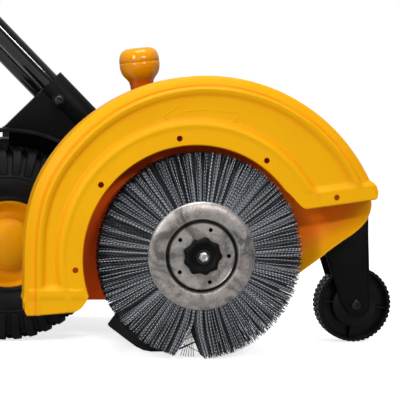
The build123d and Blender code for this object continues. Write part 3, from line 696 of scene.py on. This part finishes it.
def guard_patch(lengthways, across, wall_inset):
    """Points of the front face, in rows from the brush opening to the outer edge."""
    inner = arc(OPENING_X, OPENING_Z, OPENING_R, 198.8, 38.0, lengthways)
    outer = resample(guard_outer_line(), lengthways)
    if wall_inset:
        outer = inset_line(outer, wall_inset)
    left_line = [inner[0], (-144.0, 73.5), (-149.5, 66.0), (-156.0, 62.0), (-161.0, 60.3), (-216.0, 56.0)]
    right_line = [inner[-1], (110.6, 208.4), (117.0, 202.0), (121.5, 197.0), (126.0, 192.8), (130.2, 190.2),
                  (136.0, 189.3), (190.0, 196.9), (214.0, 200.5), (223.7, 202.0)]
    left_line, right_line = resample(left_line, across), resample(right_line, across)
    rows = []
    for i in range(lengthways + 1):
        u = i / lengthways
        row = []
        for j in range(across + 1):
            v = j / across
            point = Vector(inner[i]).lerp(Vector(outer[i]), v)
            for line, weight, end in ((left_line, (1 - u) ** 10, 0), (right_line, u ** 10, -1)):
                straight = Vector(inner[end]).lerp(Vector(outer[end]), v)
                point += (Vector(line[j]) - straight) * weight
            row.append((point.x, point.y))
        rows.append(row)
    return rows


def inset_line(line, amount):
    """An open line moved inwards by the same distance all along."""
    points = [Vector(point) for point in line]
    moved = []
    for index, point in enumerate(points):
        along = direction(points, index)
        moved.append(tuple(point + Vector((along.y, -along.x)) * amount))
    return moved


def add_tone(piece, name, values):
    """Store one number for each point of a piece, which its material reads."""
    layer = piece.data.attributes.new(name, "FLOAT", "POINT")
    layer.data.foreach_set("value", values)


def add_tone_by(piece, name, rule):
    """Store what a rule gives for each point's place in millimetres from the datum."""
    add_tone(piece, name, [rule(*from_datum(vertex.co)) for vertex in piece.data.vertices])


def front_relief_painted_shade(x, y, z):
    """How far the front moulding's colour turns to its edge colour: painted shade on the rolled shoulder, in
    the groove and in the sunk panel's corners.
    """
    outer, inner = guard_outer_depth(x, z), opening_distance(x, z)
    relief = smooth(z, 214, 226) if x > 150 else 1.0
    rim = 0.22 * smooth(outer, 14.2, SHOULDER) + 0.78 * swell(outer, GROOVE, 1.6)
    corner = 0.38 * swell(outer, 25.0, 3.0) + 0.38 * swell(inner, 33.0, 3.4)
    on_panel = smooth(outer, 19, 24) * smooth(inner, 24, 30) * smooth(z, 84, 90)
    return min((rim + corner * on_panel) * relief, 1.0)


def front_inside_painted_shade(x, y, z):
    """Painted shade: 1 inside the front moulding and 0 on its face."""
    return smooth(y - guard_front_height(x, z), 0.8, 2.2) if guard_outer_depth(x, z) > 1.0 else 0.0


def build_guard_front():
    """Front moulding: one skin for the face, the outer wall and the inside, then five holes."""
    lengthways, across, wall_steps = 420, 60, 8
    wall_end = GUARD_BACK - GUARD_WALL - 0.4
    rows = []
    for front, back in zip(guard_patch(lengthways, across, 0.0), guard_patch(lengthways, across, GUARD_WALL)):
        row = [(x, guard_front_height(x, z), z) for x, z in front]
        edge_x, edge_y, edge_z = row[-1]
        for k in range(1, wall_steps + 1):
            row.append((edge_x, edge_y + (wall_end - edge_y) * k / wall_steps, edge_z))
        inside_x, inside_z = back[-1]
        for k in range(wall_steps, 0, -1):
            row.append((inside_x, edge_y + 2 + (wall_end - edge_y - 2) * k / wall_steps, inside_z))
        row.extend((x, guard_front_height(x, z) + GUARD_WALL, z) for x, z in reversed(back))
        rows.append(row)
    skin = Builder()
    skin.grid(rows, wrap_columns=True)
    count = len(rows[0])
    for start, order in ((0, 1), (lengthways * count, -1)):
        for j in range(count // 2 - 1):
            quad = (start + j, start + j + 1, start + count - 2 - j, start + count - 1 - j)
            skin.faces.append(quad[::order])
    guard = skin.piece("guard_front_moulding")
    drill = Builder()
    on_circle = [polar(OPENING_X, OPENING_Z, HOLE_CIRCLE, math.radians(angle)) for angle in HOLE_ANGLES]
    for hole_x, hole_z in [LIP_HOLE] + on_circle:
        drill.lathe([(0.001, -12), (HOLE_R, -12), (HOLE_R, 12), (0.001, 12)], hole_x, hole_z, 28)
    cutter = drill.piece("drill")
    weld(guard.data)
    weld(cutter.data)
    cut_with(guard, cutter)
    dress(guard, "chassis", "yellow_plastic", ("guard_front_shell",), 40)
    # Painted shade on the face's shoulder, groove and panel corners.
    add_tone_by(guard, "edge", front_relief_painted_shade)
    # Painted shade on the moulding's inner faces.
    add_tone_by(guard, "deep", front_inside_painted_shade)


def build_rotation_arrow():
    """A raised outline of an arrow on the sunk panel that shows which way the brush turns."""
    panel = FLANGE_DEPTH + PANEL_DEPTH
    outline = rounded_corners([(-51, 303.7), (-28, 318.6), (-27.5, 309.5), (2, 312.5), (44.5, 309.5),
                               (39, 296.5), (5, 299.6), (-29, 297.5), (-28.5, 289.5)], 1.6, 4)
    arrow = Builder()
    section = ((-1.2, 0.4), (-0.6, -0.55), (0.6, -0.55), (1.2, 0.4))
    arrow.grid([[(x, panel + depth, z) for x, z in shrink(outline, offset)] for offset, depth in section],
               wrap_columns=True)
    dress(arrow.piece("rotation_arrow"), "chassis", "yellow_plastic")


def guard_back_outline():
    """The back shell's edge as a closed line, with its low corner on the right."""
    line = [(-219.0, 70.0), (-60.0, 70.0), (88.0, 70.0), (120.0, 95.0), (157.3, 121.6), (163.6, 126.4),
            (171.0, 132.6), (179.5, 138.9), (191.0, 146.8), (201.8, 153.9), (213.0, 162.6), (221.5, 172.0),
            (226.4, 183.0), (228.0, 192.0), (227.4, 200.5)]
    start = math.degrees(math.atan2(203.0 - GUARD_Z, 226.0 - GUARD_X))
    end = 180 - math.degrees(math.asin((SIDE_TOP - GUARD_Z) / GUARD_R))
    line += arc(GUARD_X, GUARD_Z, GUARD_R - 0.3, start, end, 110)
    return line + [(guard_side(z), z) for z in range(235, 90, -10)]


def ray_reach(outline, x, z, turn):
    """Distance from a point inside an outline to the outline along one direction."""
    dx, dz = math.cos(turn), math.sin(turn)
    best = 0.0
    for (x0, z0), (x1, z1) in zip(outline, outline[1:] + outline[:1]):
        ex, ez = x1 - x0, z1 - z0
        across = dx * ez - dz * ex
        if abs(across) < 1e-9:
            continue
        reach = ((x0 - x) * ez - (z0 - z) * ex) / across
        share = ((x0 - x) * dz - (z0 - z) * dx) / across
        if reach > 0 and -1e-6 <= share <= 1 + 1e-6:
            best = max(best, reach)
    return best


def line_distance(points, x, z):
    """Distance from a point to the nearest part of an open line."""
    best = 1e9
    here = Vector((x, z))
    for first, second in zip(points, points[1:]):
        a, b = Vector(first), Vector(second)
        share = min(max((here - a).dot(b - a) / (b - a).length_squared, 0.0), 1.0)
        best = min(best, (here - a.lerp(b, share)).length)
    return best


def build_guard_back():
    """Back shell: flat behind the brush, and turned forward like a bowl along its lower right edge."""
    outline = guard_back_outline()
    bowl_edge = outline[3:15]
    steps, hub_hole = 46, 26.0
    bowl_width, bowl_rise = 34.0, 17.0
    rows = []
    for turn in around(480):
        reach = ray_reach(outline, 0.0, AXLE, turn)
        front_row, back_row = [], []
        for step in range(steps + 1):
            share = 1 - (1 - step / steps) ** 1.6
            x, z = polar(0.0, AXLE, hub_hole + (reach - hub_hole) * share, turn)
            near = line_distance(bowl_edge, x, z)
            fade = smooth(z, 226, 196) * smooth(x, BOWL_FROM, BOWL_TO)
            rise = bowl_rise * fade * max(1 - near / bowl_width, 0.0) ** 2
            lip = 1.2 * fade * smooth(near, 2.4, 0.0)
            y = GUARD_BACK - GUARD_WALL - rise + lip
            front_row.append((x, y, z))
            back_row.append((x, y + GUARD_WALL - 0.4, z))
        rows.append(front_row + back_row[::-1])
    shell = Builder()
    shell.grid(rows, wrap_rows=True, wrap_columns=True)
    back = dress(shell.piece("guard_back_moulding"), "chassis", "yellow_plastic", ("guard_back_shell",), 40)

    # Painted shade on the back shell's inner face, weaker on the bowl where its edge turns forward into the
    # light.
    def painted_shade_tone(x, y, z):
        bowl = smooth(x, BOWL_FROM, BOWL_TO)
        lit = smooth(line_distance(bowl_edge, x, z), bowl_width, 1.5)
        inside = smooth(GUARD_BACK - 1.3 - y, 0.0, 0.5)
        return inside * (1.0 - 0.22 * bowl) * (1.0 - 0.86 * bowl * lit)

    add_tone_by(back, "deep", painted_shade_tone)


# ---------------------------------------------------------------- brush
GAP_ANGLE, GAP_HALF, GAP_START = -96.0, 9.0, 86.0
STRAND_ROWS, STRAND_START, STRAY_START = 12, 58, 84
HUB_R, HUB_HOLES, HUB_HOLE_CIRCLE, HUB_HOLE_R = 68.0, 5, 34.25, 2.7
NUT_LOBES, NUT_BORE = 9, 8.0


def bend_from_gap(angle, radius):
    """Strands lean away from the worn gap at the bottom of the brush as they get longer."""
    off = (angle - GAP_ANGLE + 180) % 360 - 180
    open_share = min(max((radius - GAP_START) / (BRUSH_R - GAP_START), 0.0), 1.0)
    push = GAP_HALF * open_share * math.exp(-abs(off) / 9.0)
    return angle + (push if off >= 0 else -push)


def add_strand(strands, angle, depth, thick, spans):
    """One strand from under the hub plate to the rim, a little wavy and leaning its own way."""
    length = BRUSH_R - 0.6 - random.random() ** 3 * 5
    wander = random.uniform(-0.42, 0.42)
    lean = random.uniform(-0.7, 0.7)
    phase = random.uniform(0, 6.28)
    path = []
    for step in range(spans + 1):
        share = step / spans
        radius = STRAND_START + (length - STRAND_START) * share
        turn = angle + wander * share + 0.3 * math.sin(phase + 9 * share) * share
        x, z = polar(0.0, AXLE, radius, math.radians(bend_from_gap(turn, radius)))
        y = depth + lean * share + (depth - BRUSH_W / 2) * 0.06 * share
        path.append((x, min(max(y, thick), BRUSH_W - thick), z))
    strands.tube(path, thick, 4)


def build_bristles():
    """Rows of crimped nylon strands, the finest and lightest on the two faces, with painted shade darkening
    the rows inside, and a few in the gap.

    They aren't merged or re-normalled: their points match the tone attribute one by one.
    """
    random.seed(11)
    strands, tones = Builder(), []
    for row in range(STRAND_ROWS):
        depth = 0.8 + (BRUSH_W - 1.6) * row / (STRAND_ROWS - 1)
        from_face = min(row, STRAND_ROWS - 1 - row)
        count, spans, thinnest, thickest = (410, 6, 0.40, 0.54) if from_face < 2 else (250, 4, 0.5, 0.7)
        for index in range(count):
            angle = 360 * (index + 0.5 * (row % 2) + random.uniform(-0.3, 0.3)) / count
            angle += 0.1 * math.sin(math.radians(angle) * 47 + row * 0.8)
            light = random.random()
            tone = 0.76 + 0.4 * (light - 0.4) if light > 0.4 else 0.6 * light
            # Painted shade: the second row from each face is a little darker and the rows inside much darker.
            if from_face > 0:
                tone = 0.8 * tone if from_face == 1 else 0.45 * light ** 2
            add_strand(strands, angle, depth, random.uniform(thinnest, thickest), spans)
            tones += [tone] * (len(strands.points) - len(tones))
    for offset in (-4.6, -3.0, -1.5, 0.2, 1.9, 3.4):
        path = []
        for step in range(4):
            radius = STRAY_START + (BRUSH_R - 1.5 - STRAY_START) * step / 3
            x, z = polar(0.0, AXLE, radius, math.radians(GAP_ANGLE + offset * (0.3 + 0.24 * step)))
            path.append((x, 12 + offset, z))
        strands.tube(path, 0.5, 4)
    tones += [0.12] * (len(strands.points) - len(tones))
    piece = strands.piece("bristle_strands")
    add_tone(piece, "tone", tones)
    piece.data.shade_smooth()
    piece.data.materials.append(MATERIALS["bristle"])
    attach(piece, "brush")
    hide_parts("bristle_ring")
    remade.add("bristle_ring")


def build_bristle_bed():
    """The dense root of the bristles: a near-black ring that stands in for the shade between the strands."""
    bed = Builder()
    bed.lathe([(44, 3.4), (60, 3.0), (80, 6.0), (84, 9.0), (84, 27.0), (80, 30.0), (60, 33.0), (44, 32.6)],
              0, AXLE, 96)
    # Its near-black colour stands in for the shade between the strands' roots.
    dress(bed.piece("bristle_bed"), "brush", "bristle_base")


def build_hub_plate(name, mirrored):
    """Pressed plate: domed outer ring, a deep groove, and a flat centre with five holes."""
    profile = [(8.0, -1.2), (40.4, -1.2), (41.4, -1.9), (42.2, -1.0), (42.8, 1.9), (45.0, 2.1),
               (46.0, -2.4), (47.2, -3.9), (50.0, -4.5), (55.0, -4.95), (60.0, -4.6), (64.5, -3.4),
               (67.0, -2.0), (HUB_R, -0.4), (HUB_R, 0.8), (66.6, 0.8), (65.0, -0.6), (60.0, -2.2),
               (55.0, -2.7), (50.0, -2.2), (48.4, 0.0), (47.4, 3.2), (42.0, 3.2), (40.4, 1.3), (8.0, 1.3)]
    plate = Builder()
    plate.lathe([(radius, BRUSH_W - y if mirrored else y) for radius, y in profile], 0, AXLE, 192)
    piece = plate.piece(name + "_pressing")
    drill = Builder()
    end = BRUSH_W + 10
    for turn in around(HUB_HOLES):
        x, z = polar(0.0, AXLE, HUB_HOLE_CIRCLE, turn)
        drill.lathe([(0.001, -10), (HUB_HOLE_R, -10), (HUB_HOLE_R, end), (0.001, end)], x, z, 24)
    cut_with(piece, drill.piece("drill"))
    dress(piece, "brush", "worn_steel", (name,), 32)


def build_clamp_nut():
    """Black lobed nut with a sunk face round its bore."""
    profile = [(1.0, -1.0), (1.02, -6.0), (1.0, -9.6), (0.94, -11.4), (0.84, -12.0), (0.66, -11.6),
               (0.60, -10.0), (0.52, -9.4), (0.34, -9.6)]
    turns = around(NUT_LOBES * 16)
    rows = [[(NUT_BORE, -1.0)] * len(turns)]
    for share, y in profile:
        ring = []
        for turn in turns:
            lobe = 2.5 * (0.5 + 0.5 * math.cos(NUT_LOBES * turn)) ** 1.5
            wear = 0.6 * math.sin(2 * turn + 0.7) + 0.5 * math.sin(5 * turn)
            ring.append(((21.6 + lobe + wear) * share if share > 0.7 else 24.3 * share, y))
        rows.append(ring)
    rows.append([(NUT_BORE, -9.6)] * len(turns))
    nut = Builder()
    placed = []
    for ring in rows:
        spots = [(*polar(0.0, AXLE, radius, turn), y) for (radius, y), turn in zip(ring, turns)]
        placed.append([(x, y, z) for x, z, y in spots])
    nut.grid(placed, wrap_columns=True)
    dress(nut.piece("clamp_nut_moulding"), "brush", "black_plastic", ("clamp_nut",), 50)


def build_hub_bolt():
    """A washer, and the worn shiny six-sided head and end of the clamping bolt."""
    washer = Builder()
    washer.lathe([(0.01, -12.0), (8.8, -12.0), (9.4, -12.4), (9.2, -13.2), (0.01, -13.4)], 0, AXLE, 48)
    dress(washer.piece("hub_bolt_washer"), "brush", "black_screws", (), 32)
    hexagon = [polar(0.0, AXLE, 6.5, turn) for turn in around(6, math.radians(12))]
    bolt = Builder()
    bolt.slab(rounded_corners(hexagon, 1.0, 3), -16.4, -13.2, 0.8)
    bolt.lathe([(0.01, -14.0), (5.0, -14.4), (5.4, -17.6), (4.6, -18.6), (3.6, -18.9), (2.9, -18.5),
                (2.7, -16.9), (0.01, -16.6)], 0, AXLE, 36)
    dress(bolt.piece("hub_bolt_head"), "brush", "zinc_steel", ("hub_bolt",), 32)


# ---------------------------------------------------------------- rear wheels
TYRE_LUGS = 38


def both_sides(half, middle):
    """A closed profile from one half of it, given as (radius, distance from the middle plane)."""
    mirrored = [(radius, middle + out) for radius, out in reversed(half) if out]
    return [(radius, middle - out) for radius, out in half] + mirrored


def build_tyre(name, middle, mirror):
    """A carcass with its bead, side ribs and crown, and two staggered rows of bars."""
    x, _, z = node_middle(name)
    half = [(61.6, 20.0), (61.6, 27.0), (58.0, 28.6), (58.2, 31.0), (60.6, 32.6), (63.2, 31.6), (66.0, 32.0),
            (69.0, 34.2), (76.0, 36.8), (84.0, 37.8), (87.6, 37.0), (89.6, 37.9), (91.6, 37.0), (98.0, 35.8),
            (106.0, 33.6), (113.0, 30.2), (118.0, 25.4), (121.6, 19.0), (123.4, 11.0), (124.0, 0.0)]
    tyre = Builder()
    tyre.lathe(both_sides(half, middle), x, z, 160)
    for index in range(TYRE_LUGS):
        for side in (-1, 1):
            turn = 2 * math.pi * (index + (0.5 if side > 0 else 0.0)) / TYRE_LUGS
            add_lug(tyre, x, z, middle, side, turn, mirror)
    dress(tyre.piece(name + "_tread"), node_body[name], "tyre_rubber", (name,), 30)


def add_lug(builder, x, z, middle, side, turn, mirror):
    """One bar of the tread: over the shoulder at the side, and slanted across the crown."""
    width = math.pi / TYRE_LUGS * 1.32
    stations = [(94.0, 37.9, 1.6), (104.0, 37.9, 5.6), (113.5, 36.4, 7.4), (121.0, 33.0, 7.8),
                (126.5, 27.5, 8.0), (129.3, 19.0, 7.6), (129.9, 8.0, 7.0), (129.9, -3.0, 6.4)]
    rows = []
    for k, (radius, out, tall) in enumerate(stations):
        skew = 0.012 * max(k - 3, 0) * (1 if mirror else -1)
        taper = 1.0 - 0.05 * max(k - 2, 0)
        base_radius = radius - tall * (1.0 if k > 3 else 0.55)
        base_out = out - tall * (0.0 if k > 3 else 0.5)
        ring = []
        for share, lift in ((-0.5, 0.0), (-0.40, 1.0), (0.40, 1.0), (0.5, 0.0)):
            reach = base_radius + (radius - base_radius) * lift
            px, pz = polar(x, z, reach, turn + width * taper * share + skew)
            ring.append((px, middle + side * (base_out + (out - base_out) * lift), pz))
        rows.append(ring)
    builder.grid(rows, wrap_columns=True)
    builder.caps(4, len(rows))


def build_rim(name, middle, outward):
    """A dished rim with its hub cap; outward is 1 or -1, towards the cap's side."""
    x, _, z = node_middle(name)
    dish = [(8.1, 25.5), (18.0, 25.5), (24.0, 20.3), (34.0, 19.6), (38.5, 17.2), (43.0, 17.0),
            (46.5, 19.0), (50.0, 23.2), (53.2, 27.8), (55.2, 29.8), (57.0, 29.9), (57.4, 28.6),
            (61.2, 27.6), (61.2, -27.6), (57.4, -28.6), (57.0, -29.8), (54.6, -29.2), (53.0, -20.0),
            (50.0, 8.0), (42.0, 12.0), (22.0, 11.0), (18.4, -4.0), (17.4, -24.0), (8.1, -24.0)]
    cap = [(0.01, 39.4), (8.0, 39.1), (16.0, 38.0), (24.0, 35.2), (28.6, 32.0), (30.6, 30.0), (31.2, 28.8),
           (33.2, 27.8), (34.0, 26.6), (34.0, 20.4), (31.4, 20.4), (29.0, 27.0), (26.0, 31.2), (18.0, 35.6),
           (8.0, 37.3), (0.01, 37.6)]
    rim = Builder()
    for profile in (dish, cap):
        rim.lathe([(radius, middle - outward * depth) for radius, depth in profile], x, z, 144)
    piece = dress(rim.piece(name + "_pressing"), node_body[name], "yellow_plastic", (name,), 30)
    # Here the edge attribute is the same all over: a uniform orange tint that is the rim's own colour.
    add_tone(piece, "edge", [0.6] * len(piece.data.vertices))


# ---------------------------------------------------------------- caster
def build_caster_wheel():
    """Moulded wheel: rim, hub, thin web with four ribs, and three rows of small tread blocks."""
    x, middle, z = node_middle("caster_wheel")
    half, blocks = 15.6, 46
    wheel = Builder()
    rim = [(45.2, 3.0), (45.4, half - 1.6), (46.6, half), (49.2, half), (49.9, half - 1)]
    hub = [(5.1, 16.6), (9.5, 16.6), (10.5, 15.4), (28.8, 14.2), (30.0, 13.4), (30.5, 11.0)]
    web = [(30.0, 1.4), (45.6, 1.4)]
    for profile, segments in ((rim, 96), (hub, 72), (web, 72)):
        wheel.lathe(both_sides(profile, middle), x, z, segments)
    for turn in around(4, math.radians(-7)):
        c, s = math.cos(turn), math.sin(turn)
        corners = ((29.6, -0.9), (45.8, -0.9), (45.8, 0.9), (29.6, 0.9))
        rib = [(x + radius * c - side * s, z + radius * s + side * c) for radius, side in corners]
        wheel.slab(rib, middle - half + 2.5, middle + half - 2.5, 0.5, 2)
    width = 2 * math.pi / blocks * 0.74
    for row, top in ((-1, 51.1), (0, 51.45), (1, 51.1)):
        low, high = row * 10.4 - 4.5, row * 10.4 + 4.5
        for turn in around(blocks, math.pi * (row % 2) / blocks):
            block = []
            for radius, grow, squeeze in ((49.4, 1.0, 1.0), (top, 0.82, 0.985)):
                for share, out in ((-0.5, low), (0.5, low), (0.5, high), (-0.5, high)):
                    px, pz = polar(x, z, radius, turn + width * share * grow)
                    block.append((px, middle + out * squeeze, pz))
            wheel.grid([block[:4], block[4:]], wrap_columns=True)
            wheel.caps(4)
    dress(wheel.piece("caster_wheel_tread"), "caster_wheel", "caster_plastic", ("caster_wheel",), 32)


def build_caster_fork():
    """Two legs with a raised rim, a web and a crown, the swivel pin above and the wheel's axle below."""
    x, middle, z = node_middle("caster_wheel")
    leg = [(194.0, 171.0), (194.0, 118.0), (198.0, 106.0), (209.0, 73.6), (215.0, 57.3)]
    leg += arc(x + 2.4, z + 0.5, 17.8, 204, 352, 16) + [(254.5, 108.0), (252.6, 146.0), (252.0, 171.0)]
    leg = rounded_corners(leg, 2.0, 3)
    fork = Builder()
    for side in (-1, 1):
        fork.slab(leg, *sorted((middle + side * 18, middle + side * 22)), 0.9)
        rim = ((0.2, 21.4), (0.7, 22.9), (2.3, 22.9), (3.0, 21.8))
        rings = [[(px, middle + side * depth, pz) for px, pz in shrink(leg, inset)] for inset, depth in rim]
        fork.grid(rings, wrap_columns=True)
    crown = rounded_corners([(194.0, 168.0), (252.0, 168.0), (252.0, 174.0), (194.0, 174.0)], 1.5, 3)
    fork.slab(crown, middle - 22, middle + 22, 0.8)
    web = rounded_corners([(194.0, 118.5), (198.0, 118.5), (198.0, 169.0), (194.0, 169.0)], 1.0, 2)
    fork.slab(web, middle - 21.5, middle + 21.5, 0.6)
    pin_x, pin_y, _ = node_middle("caster_head")
    fork.upright_lathe([(0.01, 174), (6.0, 174), (6.0, 210.4), (9.0, 210.4), (9.0, 213.4), (8.0, 215),
                        (0.01, 215)], pin_x, pin_y, 48)
    fork.lathe([(0.01, middle - 22), (5.0, middle - 22), (5.0, middle + 22), (0.01, middle + 22)], x, z, 36)
    dress(fork.piece("caster_fork_moulding"), "caster_fork", "black_plastic", ("caster_fork",), 32)
    for name, side in (("caster_axle_head_near", -1), ("caster_axle_head_far", 1)):
        add_socket_screw(name, x, z, middle + side * 22, side, 6.8, "caster_fork")


def add_socket_screw(name, x, z, y, side, radius, body):
    """A pan-head screw with a six-lobed recess; side is -1 when it faces the brush side."""
    screw = Builder()
    face, floor = y + side * radius * 0.42, y + side * 0.4
    screw.lathe([(0.01, y), (radius, y), (radius, y + side * radius * 0.2),
                 (radius * 0.86, face - side * 0.3), (radius * 0.7, face), (radius * 0.52, face),
                 (radius * 0.45, floor), (0.01, floor)], x, z, 36)
    for turn in around(6):
        lobe = arc(*polar(x, z, radius * 0.47, turn), radius * 0.13, 0, 324, 9)
        screw.slab(lobe, *sorted((floor, face)), 0.15, 1)
    return dress(screw.piece(name), body, "black_screws")


# ---------------------------------------------------------------- height lever, handle and the rest
KNOB_FOOT, KNOB_LEAN = Vector((-58.9, 130.0, 336.0)), math.radians(7.0)
HANDLE_START = (-148.0, 318.5)  # X and Z of the foot of the handle tubes' axes
TUBE_LENGTH, TUBE_OUTER, TUBE_INNER = 452.0, 13.5, 11.9
BRACKET_SCREW_SPOT = (-164.3, 321.4)


def build_lever_knob():
    """Polished knob with a parting line, and painted shade that turns its neck reddish and its body a little
    redder than the top.
    """
    profile = [(6.05, 0.2), (14.2, 0.2), (14.8, 0.8), (15.4, 8.0), (16.3, 12.6), (19.2, 16.6),
               (22.6, 20.6), (24.8, 25.0), (26.0, 29.6), (26.4, 34.0), (26.4, 36.6), (25.95, 37.0),
               (25.95, 37.6), (26.35, 38.0), (26.1, 42.4), (25.0, 47.0), (22.8, 51.2), (19.6, 54.0),
               (15.6, 55.5), (11.0, 55.9), (7.0, 55.2), (0.01, 54.9), (0.01, 33.0), (6.05, 33.0)]
    knob = Builder()
    knob.upright_lathe(profile, 0.0, 0.0, 112)
    lean = Matrix.Rotation(-KNOB_LEAN, 3, "Y")
    knob.points = [tuple(lean @ Vector(point) + KNOB_FOOT) for point in knob.points]
    piece = dress(knob.piece("lever_knob_moulding"), "height_lever", "yellow_lever", ("lever_knob",), 50)

    # Painted shade: strong on the neck under the head, faint on the body, none on the top.
    def painted_shade_tone(*point):
        height = (lean.inverted() @ (Vector(point) - KNOB_FOOT)).z
        return 0.72 * smooth(height, 24, 11) + 0.26 * smooth(height, 54, 42)

    add_tone_by(piece, "deep", painted_shade_tone)


def handle_point(distance, y):
    """A point on a handle tube's axis, which climbs backwards at 45 degrees."""
    step = distance / math.sqrt(2)
    return HANDLE_START[0] - step, y, HANDLE_START[1] + step


def build_lower_tube(name):
    """Drawn tube with rolled ends; the fold bolt passes through it."""
    y = node_middle(name)[1]
    distances = (0.0, 0.6, 1.4, 60, 120, 200, 300, 400, TUBE_LENGTH - 1.4, TUBE_LENGTH - 0.6, TUBE_LENGTH)
    path = [handle_point(distance, y) for distance in distances]
    rolled = [TUBE_OUTER - 0.7, TUBE_OUTER - 0.2]
    radii = rolled + [TUBE_OUTER] * 7 + rolled[::-1] + [TUBE_INNER] * len(path)
    tube = Builder()
    tube.tube(path + path[::-1], radii, 56, cap=False)
    dress(tube.piece(name + "_drawn"), node_body[name], node_slot[name], (name,), 40)


# ---------------------------------------------------------------- camera, lights and floor
ROOM_FRONT, ROOM_BACK = 0.13, 0.5
FLOOR_HALF, FLOOR_DROP = 12.0, 0.0005


def aim_camera():
    """The photograph's viewing angle, from a fit of known points of the machine."""
    yaw, pitch, roll = 0.1825, -0.0570, 0.0166
    camera_data = bpy.data.cameras.new("studio_camera")
    camera_data.sensor_width = 36.0
    camera_data.lens = 139.2
    camera_data.clip_end = 50.0
    camera = link_object("studio_camera", camera_data)
    camera.location = place(-351.8, -1887.3, 309.5)
    forward = Vector((math.sin(yaw) * math.cos(pitch), math.cos(yaw) * math.cos(pitch), math.sin(pitch)))
    turn = forward.to_track_quat("-Z", "Y").to_matrix() @ Matrix.Rotation(roll, 3, "Z")
    camera.rotation_euler = turn.to_euler()
    scene.camera = camera


def area_light(name, where, target, size, power):
    """A rectangular softbox, with its places in metres of the frame."""
    data = bpy.data.lights.new(name, "AREA")
    data.shape = "RECTANGLE"
    data.size, data.size_y = size
    data.energy = power
    light = link_object(name, data)
    light.location = where
    light.rotation_euler = (Vector(target) - Vector(where)).to_track_quat("-Z", "Y").to_euler()


def light_studio():
    """White to the camera, a dim room to all else, a large top light and three lights in front."""
    world = bpy.data.worlds.new("studio_world")
    scene.world = world
    world.use_nodes = True
    studio = NodeTree(world.node_tree)
    backdrop = studio.tree.nodes["Background"]
    studio.feed(backdrop.inputs["Color"], (1.0, 1.0, 1.0))
    depth = studio.add("SeparateXYZ", "Y", {0: studio.add("TexCoord", "Generated")})
    glow = studio.add("MapRange", "Result", {"Value": depth, "From Min": -0.7, "From Max": 0.8,
                                             "To Min": ROOM_FRONT, "To Max": ROOM_BACK})
    room = studio.add("Background", 0, {"Color": (0.97, 0.98, 1.0), "Strength": glow})
    seen = studio.add("LightPath", "Is Camera Ray")
    choice = studio.add("MixShader", 0, {0: seen, 1: room, 2: backdrop.outputs[0]})
    studio.link(choice, studio.tree.nodes["World Output"].inputs["Surface"])
    area_light("top_softbox", (0.2, -0.5, 2.4), (0.0, 0.0, 0.2), (1.6, 1.0), 36)
    area_light("left_softbox", (-1.6, -2.2, 1.5), (-0.1, 0.0, 0.25), (0.5, 1.1), 32)
    area_light("front_softbox", (1.05, -2.65, 1.6), (0.05, 0.0, 0.3), (0.9, 0.2), 25)
    area_light("fill_softbox", (-0.9, -2.8, 0.7), (0.0, 0.0, 0.2), (1.6, 1.2), 8)
    scene.view_settings.view_transform = "Standard"


def lay_floor():
    """A flat pale floor, a hair under the wheels."""
    corners = [(-1, -1), (1, -1), (1, 1), (-1, 1)]
    mesh = bpy.data.meshes.new("studio_floor")
    mesh.from_pydata([(x * FLOOR_HALF, y * FLOOR_HALF, -FLOOR_DROP) for x, y in corners], [], [(0, 1, 2, 3)])
    mesh.materials.append(pale_floor())
    link_object("studio_floor", mesh)


build_guard_front()
build_rotation_arrow()
build_guard_back()
build_bristles()
build_bristle_bed()
build_hub_plate("hub_plate_front", False)
build_hub_plate("hub_plate_rear", True)
build_clamp_nut()
build_hub_bolt()
for side_name, outward, screw_y in (("near", 1, 172.1), ("far", -1, 477.9)):
    wheel_middle = node_middle("tyre_" + side_name)[1]
    build_tyre("tyre_" + side_name, wheel_middle, outward > 0)
    build_rim("rim_" + side_name, wheel_middle, outward)
    build_lower_tube("lower_tube_" + side_name)
    add_socket_screw("bracket_screw_" + side_name, *BRACKET_SCREW_SPOT, screw_y, -outward, 6.3, "chassis")
build_caster_wheel()
build_caster_fork()
build_lever_knob()
for node_name in sorted(set(nodes) - remade):
    finished_copy(node_name)

aim_camera()
light_studio()
lay_floor()
